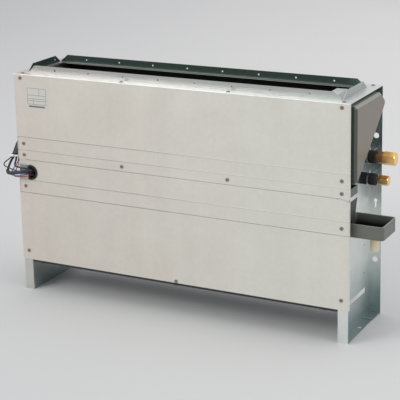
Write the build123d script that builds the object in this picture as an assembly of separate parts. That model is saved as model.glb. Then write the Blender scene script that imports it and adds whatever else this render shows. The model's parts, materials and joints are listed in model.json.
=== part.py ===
from build123d import *
import math
import os

# Casing over its sheet metal, with the floor at z = 0 and the front at -y
casing_width = 930
casing_depth = 220
casing_height = 590
frame_sheet = 1.2
panel_sheet = 1.0
side_recess = 28
joggle = 0.8
panel_hem_radius = 3.0
panel_hem_depth = 6.0
panel_lip = 12.0
rear_hem = 6.0

# Front panels, with their seams given as drops below the casing's top
panel_drop = 504.7
lower_seam_drop = 318.8
upper_seam_drop = 228.6
lower_band = 35.5
upper_band = 25.2
top_band = 35.9

# Screws of the casing
screw_radius = 2.0
screw_head_radius = 4.6
screw_head_height = 2.2
screw_length = 6.0
screw_slot = 1.0
screw_recess = 1.6
screw_clearance = 0.15
screw_edge = 20.0
screw_pitch = 297.0
top_screw_drop = 10.0
foot_screw_rise = 24.5
tab_screw_rise = 4.8
band_screw_share = 0.5

# Duct collar on the top plate
collar_height = 20.0
collar_front = 26.0
collar_rear = 38.0
collar_side = 27.0
collar_mitre = 24.0
collar_lip = 14.0
collar_hole_radius = 2.2
collar_holes = 8
collar_pitch = 101.2
outlet_right_edge = 375.0
outlet_slot_depth = 24.0
outlet_slot_length = 30.0

# Side frames, with their floor and wall fixings
floor_hole_radius = 5.5
wall_hole_radius = 7.0
wall_hole_low = 143.0
web_hole_below = 24.0
web_hole_above = 49.0
wall_hole_high = 463.0
wall_hole_inset = 13.0
keyhole_height = 297.0
keyhole_radius = 4.5
hand_slot_length = 150.0
hand_slot_height = 15.0
hand_slot_rise = 72.5
web_hole_radius = 2.5
web_hole_y = 66.0
stiffener_reach = 50.0
stiffener_rise = 17.0

# Air filter in its rails
filter_thickness = 6.0
filter_gap = 0.3
filter_rim = 14.0
filter_mesh = 1.2
filter_bars = 5
filter_bar_width = 4.0
rail_lip = 18.0
pull_tab_width = 14.0
pull_tab_pitch = 402.0

# Fans on one shaft
deck_drop = 328.0
fan_distance = 100.0
fan_drop = 80.0
wheel_radius = 60.0
wheel_width = 180.0
wheel_blades = 30
blade_depth = 11.0
blade_sheet = 1.2
wheel_ring = 3.0
wheel_disc = 2.0
hub_radius = 13.2
hub_length = 24.0
shaft_overhang = 18.0
fan_pitch = 200.0
scroll_width = 200.0
scroll_start_radius = 65.0
scroll_end_radius = 90.0
scroll_start_angle = 100.0
scroll_points = 11
scroll_flange = 5.0
scroll_sheet = 1.0
inlet_radius = 50.0
shaft_radius = 6.0
bearing_clearance = 0.05
bearing_radius = 11.0
bearing_width = 8.0
motor_radius = 50.0
motor_length = 100.0
motor_boss_radius = 18.0
motor_boss_length = 16.0
motor_groove = 3.0
motor_groove_pitch = 12.0
motor_corner = 6.0
rubber_ring_radius = 26.0
bracket_width = 76.0
cheek_sheet = 2.0
cheek_margin = 8.0
cheek_corner = 20.0

# Coil, leaning back over the main drain pan
coil_end_gap = 35.8
coil_thickness = 44.0
coil_lean = 44.0
coil_front_gap = 14.7
coil_rear_gap = 10.7
coil_top_gap = 24.7
coil_drip_gap = 12.0
fin_pitch = 12.5
fin_slot = 3.5
fin_slot_depth = 6.0
tube_radius = 4.76
tubes_per_row = 8
tube_edge = 23.0
tube_stub = 7.0
end_plate_sheet = 1.5
end_plate_margin = 2.5

# Pipes and their flare joints
pipe_offset = 35.1
gas_drop = 162.0
liquid_drop = 218.0
gas_pipe_radius = 7.95
liquid_pipe_radius = 4.76
foam_radius_gas = 16.0
foam_radius_liquid = 14.5
foam_end = 10.0
neck_length = 9.0
gas_bend_gap = 5.0
gas_upper_bend = 14.0
gas_lower_bend = 12.0
liquid_bend_gap = 7.0
liquid_bend = 9.5
gas_nut_flats = 29.0
gas_nut_length = 31.0
liquid_nut_flats = 22.0
liquid_nut_length = 21.0
gas_hex_length = 10.5
liquid_hex_length = 3.0
nut_wall = 3.2
clip_x_offset = 20.5
clip_width = 3.0
clip_sheet = 1.2
clip_foot = 9.0
clip_lug = 7.0
clip_lug_width = 5.0

# Drain pans
pan_drop = 228.0
pan_rim = 20.0
pan_wall = 2.0
pan_depth = 94.0
pan_spout_depth = 52.0
pan_foam = 10.0
tray_drop = 293.0
tray_height = 33.0
tray_depth = 92.0
tray_front = 20.0
tray_reach = 76.0
tray_wall = 2.2
tray_corner = 9.0
tray_rim_lip = 3.0
spout_dip = 8.0
spout_step = 6.0
spout_brow = 14.0
spout_toe = 14.0
socket_radius = 10.5
socket_bore = 8.0
socket_length = 40.0

# Moulded cover on the right-hand side
cover_reach = 9.0
cover_front = 19.0
cover_top_gap = 10.0
cover_wall = 3.0
cover_bevel = 6.0
cover_drop = 207.0
cover_knee_drop = 55.5
cover_knee_setback = 22.0
cover_rear_gap = 3.0
cover_rear_low = 35.0
cover_rear_high = 22.0
cover_rear_cut = 28.0
cover_corner = 9.0
cover_clip_distance = 135.0
cover_clip_width = 9.0
cover_clip_sheet = 3.0

# Control box and wiring exits
box_width = 200.0
box_depth = 74.0
box_height = 50.0
box_sheet = 1.0
box_overhang = 20.0
box_front_gap = 2.0
box_entry_radius = 14.0
box_entry_inset = 26.0
board_length = 124.0
board_width = 58.0
board_sheet = 1.6
board_end_gap = 6.0
standoff_radius = 2.5
standoff_height = 5.0
standoff_inset = 6.0
relay_length = 20.0
relay_width = 14.0
relay_height = 16.0
chip_size = 22.0
chip_height = 10.0
capacitor_radius = 6.0
capacitor_height = 20.0
terminals = 6
terminal_pitch = 9.0
terminal_slot = 6.0
terminal_depth = 22.0
terminal_height = 16.0
terminal_base = 9.0
core_length = 36.0
core_width = 22.0
core_height = 32.0
winding_length = 24.0
winding_width = 32.0
winding_height = 18.0
box_gap = 8.0
notch_radius = 18.0
notch_drop = 262.0
notch_inset = 39.0
bush_lip = 2.0
bush_wall = 3.0
web_bush_radius = 14.5
web_bush_setback = 48.0
web_bush_drop = 154.0
bush_reach = 2.0
bush_open_side = 8.0
tie_length = 27.5
tie_width = 16.0
tie_sheet = 1.2
tie_height = 4.0
tie_head_length = 7.0
tie_head_depth = 3.4
tie_head_height = 5.0
tie_tail_length = 6.0
tie_tail_sheet = 1.0
tie_tail_height = 3.0
label_width = 65.0
label_height = 66.0
label_inset = 36.0
label_drop = 22.0
label_sheet = 0.3
label_corner = 3.0

half_width = casing_width / 2
front_y = -casing_depth / 2
rear_y = casing_depth / 2
top_underside = casing_height - frame_sheet
frame_top = top_underside - panel_sheet
web_outer = half_width - side_recess
web_inner = web_outer - frame_sheet
flange_front = front_y + panel_sheet + joggle
flange_back = flange_front + frame_sheet
flange_end = half_width - panel_hem_radius
rear_flange_face = rear_y - frame_sheet
lower_panel_bottom = casing_height - panel_drop
lower_seam = casing_height - lower_seam_drop
upper_seam = casing_height - upper_seam_drop
screw_x = half_width - screw_edge
inner_screw_x = screw_pitch / 2
filter_top = lower_panel_bottom - filter_gap
filter_bottom = filter_top - filter_thickness
intake_z = lower_panel_bottom + panel_sheet
fan_y = front_y + fan_distance
deck_height = casing_height - deck_drop
fan_z = deck_height - fan_drop
pan_floor = casing_height - pan_drop
tray_rim_z = casing_height - tray_drop
coil_length = 2 * (web_inner - coil_end_gap)
coil_angle = math.radians(coil_lean)
coil_bottom = pan_floor + coil_drip_gap
coil_room_y = casing_depth - coil_front_gap - coil_rear_gap - coil_thickness * math.sin(coil_angle)
coil_room_z = top_underside - coil_top_gap - coil_bottom - coil_thickness * math.cos(coil_angle)
coil_height = min(coil_room_y / math.cos(coil_angle), coil_room_z / math.sin(coil_angle))
tube_pitch = (coil_height - 2 * tube_edge) / (tubes_per_row - 1)
row_pitch = coil_thickness / 2
coil_y = (front_y + coil_front_gap + coil_height / 2 * math.cos(coil_angle)
          + coil_thickness / 2 * math.sin(coil_angle))
coil_z = (coil_bottom + coil_height / 2 * math.sin(coil_angle)
          + coil_thickness / 2 * math.cos(coil_angle))
foam_outer_x = half_width + foam_end
clip_x = web_outer + clip_x_offset
gas_z = casing_height - gas_drop
liquid_z = casing_height - liquid_drop
last_tube = (tubes_per_row - 1) / 2 * tube_pitch
pipe_y = (coil_y + last_tube * math.cos(coil_angle) + row_pitch / 2 * math.sin(coil_angle)
          - pipe_offset)
cover_bottom = casing_height - cover_drop
notch_x = -half_width + notch_inset
notch_height = casing_height - notch_drop
web_bush_y = front_y + web_bush_setback
web_bush_z = casing_height - web_bush_drop
cover_outer = half_width + cover_reach


def block(x0, x1, y0, y1, z0, z1):
    size = Box(x1 - x0, y1 - y0, z1 - z0)
    return Pos((x0 + x1) / 2, (y0 + y1) / 2, (z0 + z1) / 2) * size


def rod_x(radius, x0, x1, y, z):
    return Pos((x0 + x1) / 2, y, z) * Rot(0, 90, 0) * Cylinder(radius, x1 - x0)


def rod_y(radius, x, y0, y1, z):
    return Pos(x, (y0 + y1) / 2, z) * Rot(90, 0, 0) * Cylinder(radius, y1 - y0)


def rod_z(radius, x, y, z0, z1):
    return Pos(x, y, (z0 + z1) / 2) * Cylinder(radius, z1 - z0)


def face_x(points, x):
    return Plane.YZ.offset(x) * make_face(Polyline(*points, close=True))


def prism_x(points, x0, x1):
    return extrude(face_x(points, x0), amount=x1 - x0, dir=(1, 0, 0))


def prism_y(points, y0, y1):
    outline = make_face(Polyline(*[(x, y0, z) for x, z in points], close=True))
    return extrude(outline, amount=y1 - y0, dir=(0, 1, 0))


def group(*solids):
    return Compound(children=list(solids))


def both_sides(shape):
    return [shape, mirror(shape, about=Plane.YZ)]


# Screws

def front_screw_places():
    """x, height and seat of each screw in the front panels."""
    face = front_y
    strip = front_y + joggle
    a_band = upper_seam + upper_band + top_band * band_screw_share
    b_band = upper_seam + upper_band * band_screw_share
    c_band = lower_seam + lower_band * band_screw_share
    places = [(0, lower_panel_bottom + tab_screw_rise, face)]
    for x in (-screw_x, screw_x):
        places += [
            (x, casing_height - top_screw_drop, face),
            (x, a_band, strip),
            (x, b_band, strip),
            (x, c_band, strip),
            (x, lower_panel_bottom + foot_screw_rise, face),
        ]
    places += [(-inner_screw_x, b_band, strip), (inner_screw_x, b_band, strip)]
    return places


def top_screw_places():
    rows = (front_y + top_margin_screw(), rear_y - top_margin_screw())
    columns = (-screw_x, -inner_screw_x, inner_screw_x, screw_x)
    return [(x, y) for y in rows for x in columns]


def top_margin_screw():
    return collar_front / 2


def front_holes():
    radius = screw_radius + screw_clearance
    return [rod_y(radius, x, front_y - 1, front_y + screw_length + 3, z)
            for x, z, seat in front_screw_places()]


def top_holes():
    radius = screw_radius + screw_clearance
    return [rod_z(radius, x, y, casing_height - screw_length - 2, casing_height + 1)
            for x, y in top_screw_places()]


def screw():
    """A pan head standing up from z = 0, with its shank below."""
    dome = Cylinder(screw_head_radius, screw_head_height, align=(Align.CENTER, Align.CENTER, Align.MIN))
    dome = chamfer(dome.edges().sort_by(Axis.Z)[-1], screw_head_height * 0.35)
    cross = Box(screw_head_radius, screw_slot, screw_recess)
    cross += Box(screw_slot, screw_head_radius, screw_recess)
    dome -= Pos(0, 0, screw_head_height) * cross
    return dome + Pos(0, 0, -screw_length / 2) * Cylinder(screw_radius, screw_length)


def panel_screws():
    return group(*[Pos(x, seat, z) * Rot(90, 0, 0) * screw() for x, z, seat in front_screw_places()])


def top_screws():
    return group(*[Pos(x, y, casing_height) * screw() for x, y in top_screw_places()])


# Casing

def side_frame(right):
    """A channel on end, open outwards, with turned feet on the floor and under the top."""
    web = block(web_inner, web_outer, flange_front, rear_y, 0, frame_top)
    front = block(web_inner, flange_end, flange_front, flange_back, 0, frame_top)
    rear = block(web_inner, half_width, rear_flange_face, rear_y, 0, frame_top)
    foot = block(web_inner, flange_end, flange_front, rear_y, 0, frame_sheet)
    head = block(web_inner, flange_end, flange_front, rear_y, frame_top - frame_sheet, frame_top)
    frame = web + front + rear + foot + head
    hole_x = web_outer + wall_hole_inset
    wall_cut = rear_y - 2 * frame_sheet
    frame -= rod_z(floor_hole_radius, (web_outer + half_width) / 2, 0, -1, 3)
    for height in (wall_hole_low, wall_hole_high):
        frame -= rod_y(wall_hole_radius, hole_x, wall_cut, rear_y + 1, height)
    frame -= rod_y(keyhole_radius, hole_x, wall_cut, rear_y + 1, keyhole_height)
    frame -= block(hole_x - keyhole_radius / 2, hole_x + keyhole_radius / 2, wall_cut, rear_y + 1,
                   keyhole_height - 4 * keyhole_radius, keyhole_height)
    hand = Plane.YZ.offset(web_inner - 1) * Pos(0, hand_slot_rise)
    frame -= extrude(hand * Rectangle(hand_slot_length, hand_slot_height), amount=4)
    for height in (wall_hole_low - web_hole_below, wall_hole_low + web_hole_above):
        frame -= rod_x(web_hole_radius, web_inner - 1, web_outer + 1, web_hole_y, height)
    if right:
        frame -= rod_x(foam_radius_gas, web_inner - 1, web_outer + 1, pipe_y, gas_z)
        frame -= rod_x(foam_radius_liquid, web_inner - 1, web_outer + 1, pipe_y, liquid_z)
        frame -= block(web_inner - 1, web_outer + 1, *pan_spout_span(filter_gap),
                       pan_floor - pan_foam - filter_gap, pan_floor + pan_rim + filter_gap)
    frame -= top_holes()
    frame -= front_holes()
    if right:
        return frame
    frame = mirror(frame, about=Plane.YZ)
    frame -= rod_x(web_bush_radius, -web_outer - 1, -web_inner + 1, web_bush_y, web_bush_z)
    return frame


def left_side_frame():
    return side_frame(right=False)


def right_side_frame():
    return side_frame(right=True)


def foot_stiffeners():
    """Angles that tie the rear flange of each side frame to its floor flange."""
    x0 = web_outer
    x1 = half_width - frame_sheet
    flat = block(x0, x1, rear_flange_face - stiffener_reach, rear_flange_face, frame_sheet, 2 * frame_sheet)
    upright = block(x0, x1, rear_flange_face - frame_sheet, rear_flange_face, frame_sheet, stiffener_rise)
    hem = rod_x(frame_sheet, x0, x1, rear_flange_face - stiffener_reach, 2 * frame_sheet)
    return group(*both_sides(flat + upright + hem))


def outlet_span():
    return (front_y + collar_front + collar_lip * 0.7, rear_y - collar_rear - collar_lip * 0.7)


def outlet_left_edge():
    return -half_width + collar_side + collar_lip


def top_plate():
    plate = block(-half_width, half_width, front_y, rear_y, top_underside, casing_height)
    y0, y1 = outlet_span()
    plate -= block(outlet_left_edge(), outlet_right_edge, y0, y1, top_underside - 1, casing_height + 1)
    plate -= block(outlet_right_edge - 1, outlet_right_edge + outlet_slot_length,
                   y1 - outlet_slot_depth, y1, top_underside - 1, casing_height + 1)
    front_edge = plate.edges().filter_by(Axis.X).group_by(Axis.Z)[-1].sort_by(Axis.Y)[0]
    plate = fillet(front_edge, frame_sheet * 0.7)
    plate -= top_holes()
    return plate


def collar_wall(length, holes, pitch):
    """One upright strip with mitred ends, standing on y = 0 and running along x."""
    half = length / 2
    points = [(-half, 0), (half, 0), (half - collar_mitre, collar_height),
              (collar_mitre - half, collar_height)]
    wall = prism_y(points, 0, frame_sheet)
    for index in range(holes):
        x = (index - (holes - 1) / 2) * pitch
        wall -= rod_y(collar_hole_radius, x, -1, frame_sheet + 1, collar_height / 2)
    return wall


def duct_collar():
    """A flat rim on the top plate whose outer edges are turned up to take a duct."""
    x1 = half_width - collar_side
    y0 = front_y + collar_front
    y1 = rear_y - collar_rear
    z0 = casing_height
    rim = block(-x1, x1, y0, y1, z0, z0 + frame_sheet)
    span = outlet_span()
    rim -= block(outlet_left_edge(), outlet_right_edge + outlet_slot_length, span[0], span[1], z0 - 1, z0 + 3)
    front = Pos(0, y0, z0) * collar_wall(2 * x1, collar_holes, collar_pitch)
    rear = Pos(0, y1, z0) * Rot(0, 0, 180) * collar_wall(2 * x1, collar_holes, collar_pitch)
    right = Pos(x1, (y0 + y1) / 2, z0) * Rot(0, 0, 90) * collar_wall(y1 - y0, 2, collar_pitch)
    left = Pos(-x1, (y0 + y1) / 2, z0) * Rot(0, 0, -90) * collar_wall(y1 - y0, 2, collar_pitch)
    return rim + front + rear + left + right


def panel_hems(z0, z1):
    """The rounded edges turned back down each side of a front panel."""
    outer = Pos(half_width - panel_hem_radius, front_y + panel_hem_radius)
    ring = outer * (Circle(panel_hem_radius) - Circle(panel_hem_radius - panel_sheet))
    quarter = ring & Pos(half_width, front_y) * Rectangle(2 * panel_hem_radius, 2 * panel_hem_radius)
    tail = Pos(half_width - panel_sheet / 2, front_y + (panel_hem_radius + panel_hem_depth) / 2)
    section = quarter + tail * Rectangle(panel_sheet, panel_hem_depth - panel_hem_radius)
    hem = extrude(Plane.XY.offset(z0) * section, amount=z1 - z0)
    return both_sides(hem)


def front_sheet(z0, z1, bands):
    """A front panel from z0 to z1, with bands pressed back by the joggle."""
    x1 = half_width - panel_hem_radius
    sheet = block(-x1, x1, front_y, front_y + panel_sheet, z0, z1)
    for hem in panel_hems(z0, z1):
        sheet += hem
    for low, high in bands:
        sheet -= block(-x1, x1, front_y - 1, front_y + joggle, low, high)
        sheet += block(-x1, x1, front_y + joggle, front_y + joggle + panel_sheet, low, high + panel_sheet)
    return sheet


def upper_front_panel():
    low = upper_seam + filter_gap
    split = upper_seam + upper_band
    panel = front_sheet(low, top_underside, [(low, split + top_band)])
    x1 = half_width - panel_hem_radius
    panel -= block(-x1, x1, front_y, front_y + joggle + panel_sheet / 4, split, split + panel_sheet)
    panel += block(-x1, x1, front_y + panel_sheet / 2, front_y + panel_lip, frame_top, top_underside)
    panel -= top_holes()
    return panel - front_holes()


def middle_front_panel():
    high = upper_seam - filter_gap
    low = lower_seam + filter_gap
    panel = front_sheet(low, high, [(low, lower_seam + lower_band)])
    corner = side_recess * 0.8
    fall = corner / 3
    cut = prism_y([(half_width + 1, high + 1), (half_width - corner, high + 1), (half_width - corner, high),
                   (half_width + 1, high - fall)], front_y - 1, front_y + panel_hem_depth + 1)
    hole = rod_y(screw_radius, half_width - corner - 7, front_y - 1, flange_front, high)
    for tool in (cut, hole):
        for copy in both_sides(tool):
            panel -= copy
    panel -= notch_tool(notch_radius)
    return panel - front_holes()


def notch_tool(radius):
    """The slot, open to the left-hand edge, that the wires leave by."""
    y0 = front_y - 5
    y1 = front_y + panel_hem_depth + 5
    slot = block(-half_width - 5, notch_x, y0, y1, notch_height - radius, notch_height + radius)
    return slot + rod_y(radius, notch_x, y0, y1, notch_height)


def lower_front_panel():
    high = lower_seam - filter_gap
    panel = front_sheet(lower_panel_bottom, high, [])
    x1 = web_inner - filter_gap
    panel += block(-x1, x1, front_y + panel_sheet / 2, front_y + panel_lip, lower_panel_bottom, intake_z)
    return panel - front_holes()


def front_stay():
    """A folded rail behind the upper seam, from side frame to side frame."""
    z0 = upper_seam
    z1 = upper_seam + upper_band
    face = block(-web_inner, web_inner, flange_front, flange_back, z0, z1)
    lip = block(-web_inner, web_inner, flange_front, flange_front + panel_lip / 2, z1 - frame_sheet, z1)
    return face + lip - front_holes()


def rear_panel():
    """The back, with its edges turned forward and two stiffening beads."""
    x1 = web_inner
    z0 = lower_panel_bottom
    panel = block(-x1, x1, rear_flange_face, rear_y, z0, frame_top)
    panel += block(-x1, x1, rear_y - panel_lip, rear_y, z0, z0 + frame_sheet)
    panel += block(-x1, x1, rear_y - 2 * panel_lip, rear_y, frame_top - frame_sheet, frame_top)
    for side in both_sides(block(x1 - frame_sheet, x1, rear_y - rear_hem, rear_y, z0, frame_top)):
        panel += side
    for height in (lower_seam * 0.66, (lower_seam + casing_height) / 2):
        bead = rod_x(frame_sheet * 2.5, -x1 + screw_edge, x1 - screw_edge, rear_y, height)
        groove = rod_x(frame_sheet * 1.5, -x1 + screw_edge, x1 - screw_edge, rear_y, height)
        outside = block(-half_width, half_width, rear_y, rear_y + 9, height - 9, height + 9)
        panel = panel + (bead - outside) - groove
    panel -= top_holes()
    return panel


def fan_deck():
    """The shelf between the fans and the coil, with an outlet over each fan."""
    y0 = flange_back
    y1 = rear_y - panel_lip
    z0 = deck_height
    x1 = web_inner
    deck = block(-x1, x1, y0, y1, z0, z0 + frame_sheet)
    deck += block(-x1, x1, y0, y0 + frame_sheet, z0 - panel_lip / 2, z0)
    deck += block(-x1, x1, y1 - frame_sheet, y1, z0, z0 + panel_lip)
    for x in (-fan_pitch, fan_pitch):
        deck -= block(x - scroll_width / 2 + scroll_sheet, x + scroll_width / 2 - scroll_sheet,
                      *scroll_outlet(scroll_sheet), z0 - 1, z0 + 3)
    return deck


def intake_frame():
    """The floor of the fan space: an open frame with ribs, and rails for the filter under it."""
    x1 = web_inner
    y0 = flange_back
    y1 = rear_y - panel_lip
    z0 = intake_z
    frame = block(-x1, x1, y0, y1, z0, z0 + frame_sheet)
    opening = [(-x1 + rail_lip, x1 - rail_lip, y0 + rail_lip, y1 - rail_lip, z0 - 1, z0 + 3)]
    frame -= block(*opening[0])
    for x in (-fan_pitch * 0.7, fan_pitch * 0.7):
        frame += block(x - panel_lip / 2, x + panel_lip / 2, y0, y1, z0, z0 + frame_sheet)
    frame += block(-x1, x1, y1 - frame_sheet, y1, filter_bottom, z0)
    lip_top = filter_bottom - filter_gap
    rail = block(x1 - frame_sheet, x1, y0 + panel_lip, y1, lip_top - frame_sheet, z0)
    rail += block(x1 - rail_lip, x1, y0 + panel_lip, y1, lip_top - frame_sheet, lip_top)
    for side in both_sides(rail):
        frame += side
    return frame


# Air filter

def filter_edges():
    x1 = web_inner - frame_sheet - filter_gap
    return x1, front_y + frame_sheet + joggle, rear_y - panel_lip - frame_sheet - filter_gap


def filter_frame():
    """A moulded frame with bars across it, which slides out to the front."""
    x1, y0, y1 = filter_edges()
    frame = block(-x1, x1, y0, y1, filter_bottom, filter_top)
    frame -= block(-x1 + filter_rim, x1 - filter_rim, y0 + filter_rim / 2, y1 - filter_rim / 2,
                   filter_bottom - 1, filter_top + 1)
    step = 2 * x1 / (filter_bars + 1)
    low = filter_bottom + filter_mesh_offset() + filter_mesh
    for index in range(filter_bars):
        x = -x1 + step * (index + 1)
        frame += block(x - filter_bar_width / 2, x + filter_bar_width / 2, y0 + 1, y1 - 1, low, filter_top)
    return frame


def filter_mesh_offset():
    return filter_thickness * 0.3


def filter_net():
    x1, y0, y1 = filter_edges()
    z0 = filter_bottom + filter_mesh_offset()
    half_rim = filter_rim / 2
    return block(-x1 + filter_rim, x1 - filter_rim, y0 + half_rim, y1 - half_rim, z0, z0 + filter_mesh)


def filter_pull_tabs():
    x1, y0, y1 = filter_edges()
    tabs = []
    for x in (-pull_tab_pitch, 0, pull_tab_pitch):
        plate = block(x - pull_tab_width / 2, x + pull_tab_width / 2, front_y, y0,
                      filter_bottom, filter_top - filter_gap)
        tabs.append(fillet(plate.edges().filter_by(Axis.Y), 1.5))
    return group(*tabs)


# Fans

def scroll_radius(angle, inset):
    share = (angle - scroll_start_angle) / (360.0 - scroll_start_angle)
    return scroll_start_radius + (scroll_end_radius - scroll_start_radius) * share - inset


def scroll_outlet(inset):
    start = scroll_radius(scroll_start_angle, inset) * math.cos(math.radians(scroll_start_angle))
    return fan_y + start, fan_y + scroll_radius(360.0, inset)


def scroll_face(x, inset):
    """The spiral outline of a fan housing, from its cut-off round to the outlet."""
    curve = []
    for step in range(scroll_points):
        angle = scroll_start_angle + step * (360.0 - scroll_start_angle) / (scroll_points - 1)
        radius = scroll_radius(angle, inset)
        turn = math.radians(angle)
        curve.append((fan_y + radius * math.cos(turn), fan_z + radius * math.sin(turn)))
    top = deck_height
    spiral = Spline(*curve)
    rest = Polyline(curve[-1], (curve[-1][0], top), (curve[0][0], top), curve[0])
    return Plane.YZ.offset(x) * make_face([*spiral.edges(), *rest.edges()])


def scroll(x):
    x0 = x - scroll_width / 2
    body = extrude(scroll_face(x0, 0), amount=scroll_width, dir=(1, 0, 0))
    body -= extrude(scroll_face(x0 + scroll_sheet, scroll_sheet), amount=scroll_width - 2 * scroll_sheet,
                    dir=(1, 0, 0))
    y0, y1 = scroll_outlet(scroll_sheet)
    flange = block(x0 - scroll_flange, x0 + scroll_width + scroll_flange, y0 - scroll_flange - scroll_sheet,
                   y1 + scroll_flange + scroll_sheet, deck_height - scroll_sheet, deck_height)
    flange -= block(x0 + scroll_sheet, x0 + scroll_width - scroll_sheet, y0, y1, deck_height - 5,
                    deck_height + 1)
    body += flange
    for edge, inward in ((x0, 1), (x0 + scroll_width, -1)):
        lip_end = edge + inward * scroll_flange
        low, high = min(edge, lip_end), max(edge, lip_end)
        body += rod_x(inlet_radius + scroll_sheet, low, high, fan_y, fan_z)
        body -= rod_x(inlet_radius, low - 1, high + 1, fan_y, fan_z)
    return body


def left_fan_scroll():
    return scroll(-fan_pitch)


def right_fan_scroll():
    return scroll(fan_pitch)


def blade_face():
    """One forward-curved blade between its inner and outer circles."""
    inner = wheel_radius - blade_depth
    tip = Vector(wheel_radius - 0.4, 0)
    root = Vector(inner + 0.4, 0).rotate(Axis.Z, -6)
    middle = Vector((wheel_radius + inner) / 2, 0).rotate(Axis.Z, -6.5)
    inner_middle = Vector((wheel_radius + inner) / 2, 0).rotate(Axis.Z, -8.2)
    back_tip = tip.rotate(Axis.Z, -math.degrees(blade_sheet / wheel_radius))
    back_root = root.rotate(Axis.Z, -math.degrees(blade_sheet / inner))
    front = ThreePointArc(root, middle, tip)
    back = ThreePointArc(back_tip, inner_middle, back_root)
    return make_face([front, Line(tip, back_tip), back, Line(back_root, root)])


def fan_wheel(x):
    """A double-inlet wheel: a hub and disc in the middle, blades to both ends, and end rings."""
    half = wheel_width / 2
    blades = [Rot(0, 0, index * 360 / wheel_blades) * blade_face() for index in range(wheel_blades)]
    wheel = Part() + [extrude(blade, amount=wheel_width) for blade in blades]
    inner = wheel_radius - blade_depth
    ring = extrude(Circle(wheel_radius) - Circle((wheel_radius + inner) / 2), amount=wheel_ring)
    wheel += [ring, Pos(0, 0, wheel_width - wheel_ring) * ring]
    wheel += Pos(0, 0, half) * Cylinder(wheel_radius - 1, wheel_disc)
    wheel += Pos(0, 0, half) * Cylinder(hub_radius, hub_length)
    wheel -= Pos(0, 0, half) * Cylinder(shaft_radius, 2 * hub_length)
    return Pos(x, fan_y, fan_z) * Rot(0, 90, 0) * Pos(0, 0, -half) * wheel


def left_fan_wheel():
    return fan_wheel(-fan_pitch)


def right_fan_wheel():
    return fan_wheel(fan_pitch)


def fan_shaft():
    end = fan_pitch + shaft_overhang
    shaft = rod_x(shaft_radius, -end, end, fan_y, fan_z)
    return chamfer(shaft.edges().filter_by(GeomType.CIRCLE), 1.0)


def motor_body():
    """The motor between the fans: a finned barrel with a boss and bearing seat at each end."""
    half = motor_length / 2
    body = rod_x(motor_radius, -half, half, fan_y, fan_z)
    body = fillet(body.edges().filter_by(GeomType.CIRCLE), motor_corner)
    ring = Cylinder(motor_radius + 1, motor_groove) - Cylinder(motor_radius - motor_groove, motor_groove)
    for step in (-2.5, -1.5, 1.5, 2.5):
        body -= Pos(step * motor_groove_pitch, fan_y, fan_z) * Rot(0, 90, 0) * ring
    body += rod_x(motor_boss_radius, -half - motor_boss_length, half + motor_boss_length, fan_y, fan_z)
    body -= rod_x(shaft_radius + 2, -half - 40, half + 40, fan_y, fan_z)
    end = half + motor_boss_length
    for seat in both_sides(rod_x(bearing_radius, end - bearing_width, end, fan_y, fan_z)):
        body -= seat
    return body


def motor_bearings():
    end = motor_length / 2 + motor_boss_length
    ring = rod_x(bearing_radius, end - bearing_width, end, fan_y, fan_z)
    ring -= rod_x(shaft_radius + bearing_clearance, end - bearing_width, end, fan_y, fan_z)
    return group(*both_sides(ring))


def motor_rubber_rings():
    end = motor_length / 2 + motor_boss_length
    ring = rod_x(rubber_ring_radius, end - 6 * cheek_sheet, end - cheek_sheet, fan_y, fan_z)
    ring -= rod_x(motor_boss_radius, end - 6 * cheek_sheet, end - cheek_sheet, fan_y, fan_z)
    return group(*both_sides(ring))


def motor_bracket():
    """A stirrup under the deck whose two cheeks hold the motor by its rubber rings."""
    end = motor_length / 2 + motor_boss_length
    y0 = fan_y - bracket_width / 2
    y1 = fan_y + bracket_width / 2
    top = block(-end + cheek_sheet, end - cheek_sheet, y0, y1, deck_height - cheek_sheet, deck_height)
    drop = fan_z - rubber_ring_radius - cheek_margin
    cheek = block(end - 4 * cheek_sheet, end - 3 * cheek_sheet, y0, y1, drop, deck_height)
    cheek = fillet(cheek.edges().filter_by(Axis.X).group_by(Axis.Z)[0], cheek_corner)
    cheek -= rod_x(rubber_ring_radius, end - 5 * cheek_sheet, end, fan_y, fan_z)
    bracket = top
    for side in both_sides(cheek):
        bracket += side
    return bracket


# Coil

def on_coil(along, across):
    """A place in the coil's slab, as y and z."""
    y = coil_y + along * math.cos(coil_angle) - across * math.sin(coil_angle)
    z = coil_z + along * math.sin(coil_angle) + across * math.cos(coil_angle)
    return y, z


def coil_block(x0, x1, along, across):
    slab = Box(x1 - x0, 2 * along, 2 * across)
    return Pos((x0 + x1) / 2, coil_y, coil_z) * Rot(coil_lean, 0, 0) * slab


def tube_places():
    places = []
    for index in range(tubes_per_row):
        along = (index - (tubes_per_row - 1) / 2) * tube_pitch
        places.append((on_coil(along, row_pitch / 2), on_coil(along, -row_pitch / 2)))
    return places


def coil_fins():
    """The fin block, slotted across both faces where the fins stand apart."""
    half = coil_length / 2
    fins = coil_block(-half, half, coil_height / 2, coil_thickness / 2)
    count = int(coil_length / fin_pitch) - 1
    slots = []
    for index in range(count):
        x = (index - (count - 1) / 2) * fin_pitch
        for side in (1, -1):
            y, z = on_coil(0, side * coil_thickness / 2)
            slot = Box(fin_slot, coil_height + 2, 2 * fin_slot_depth)
            slots.append(Pos(x, y, z) * Rot(coil_lean, 0, 0) * slot)
    fins -= slots
    for pair in tube_places():
        fins -= [rod_x(tube_radius, -half - 1, half + 1, y, z) for y, z in pair]
    return fins


def u_bend(side_x, outward, first, second):
    """A half-circle tube from one tube end to another, bulging along x."""
    a = Vector(side_x, *first)
    b = Vector(side_x, *second)
    middle = (a + b) * 0.5
    reach = (b - a).length / 2
    arc = ThreePointArc(a, middle + Vector(outward * reach, 0, 0), b)
    section = Plane(origin=a, z_dir=(outward, 0, 0)) * Circle(tube_radius)
    return sweep(section, path=arc)


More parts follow.
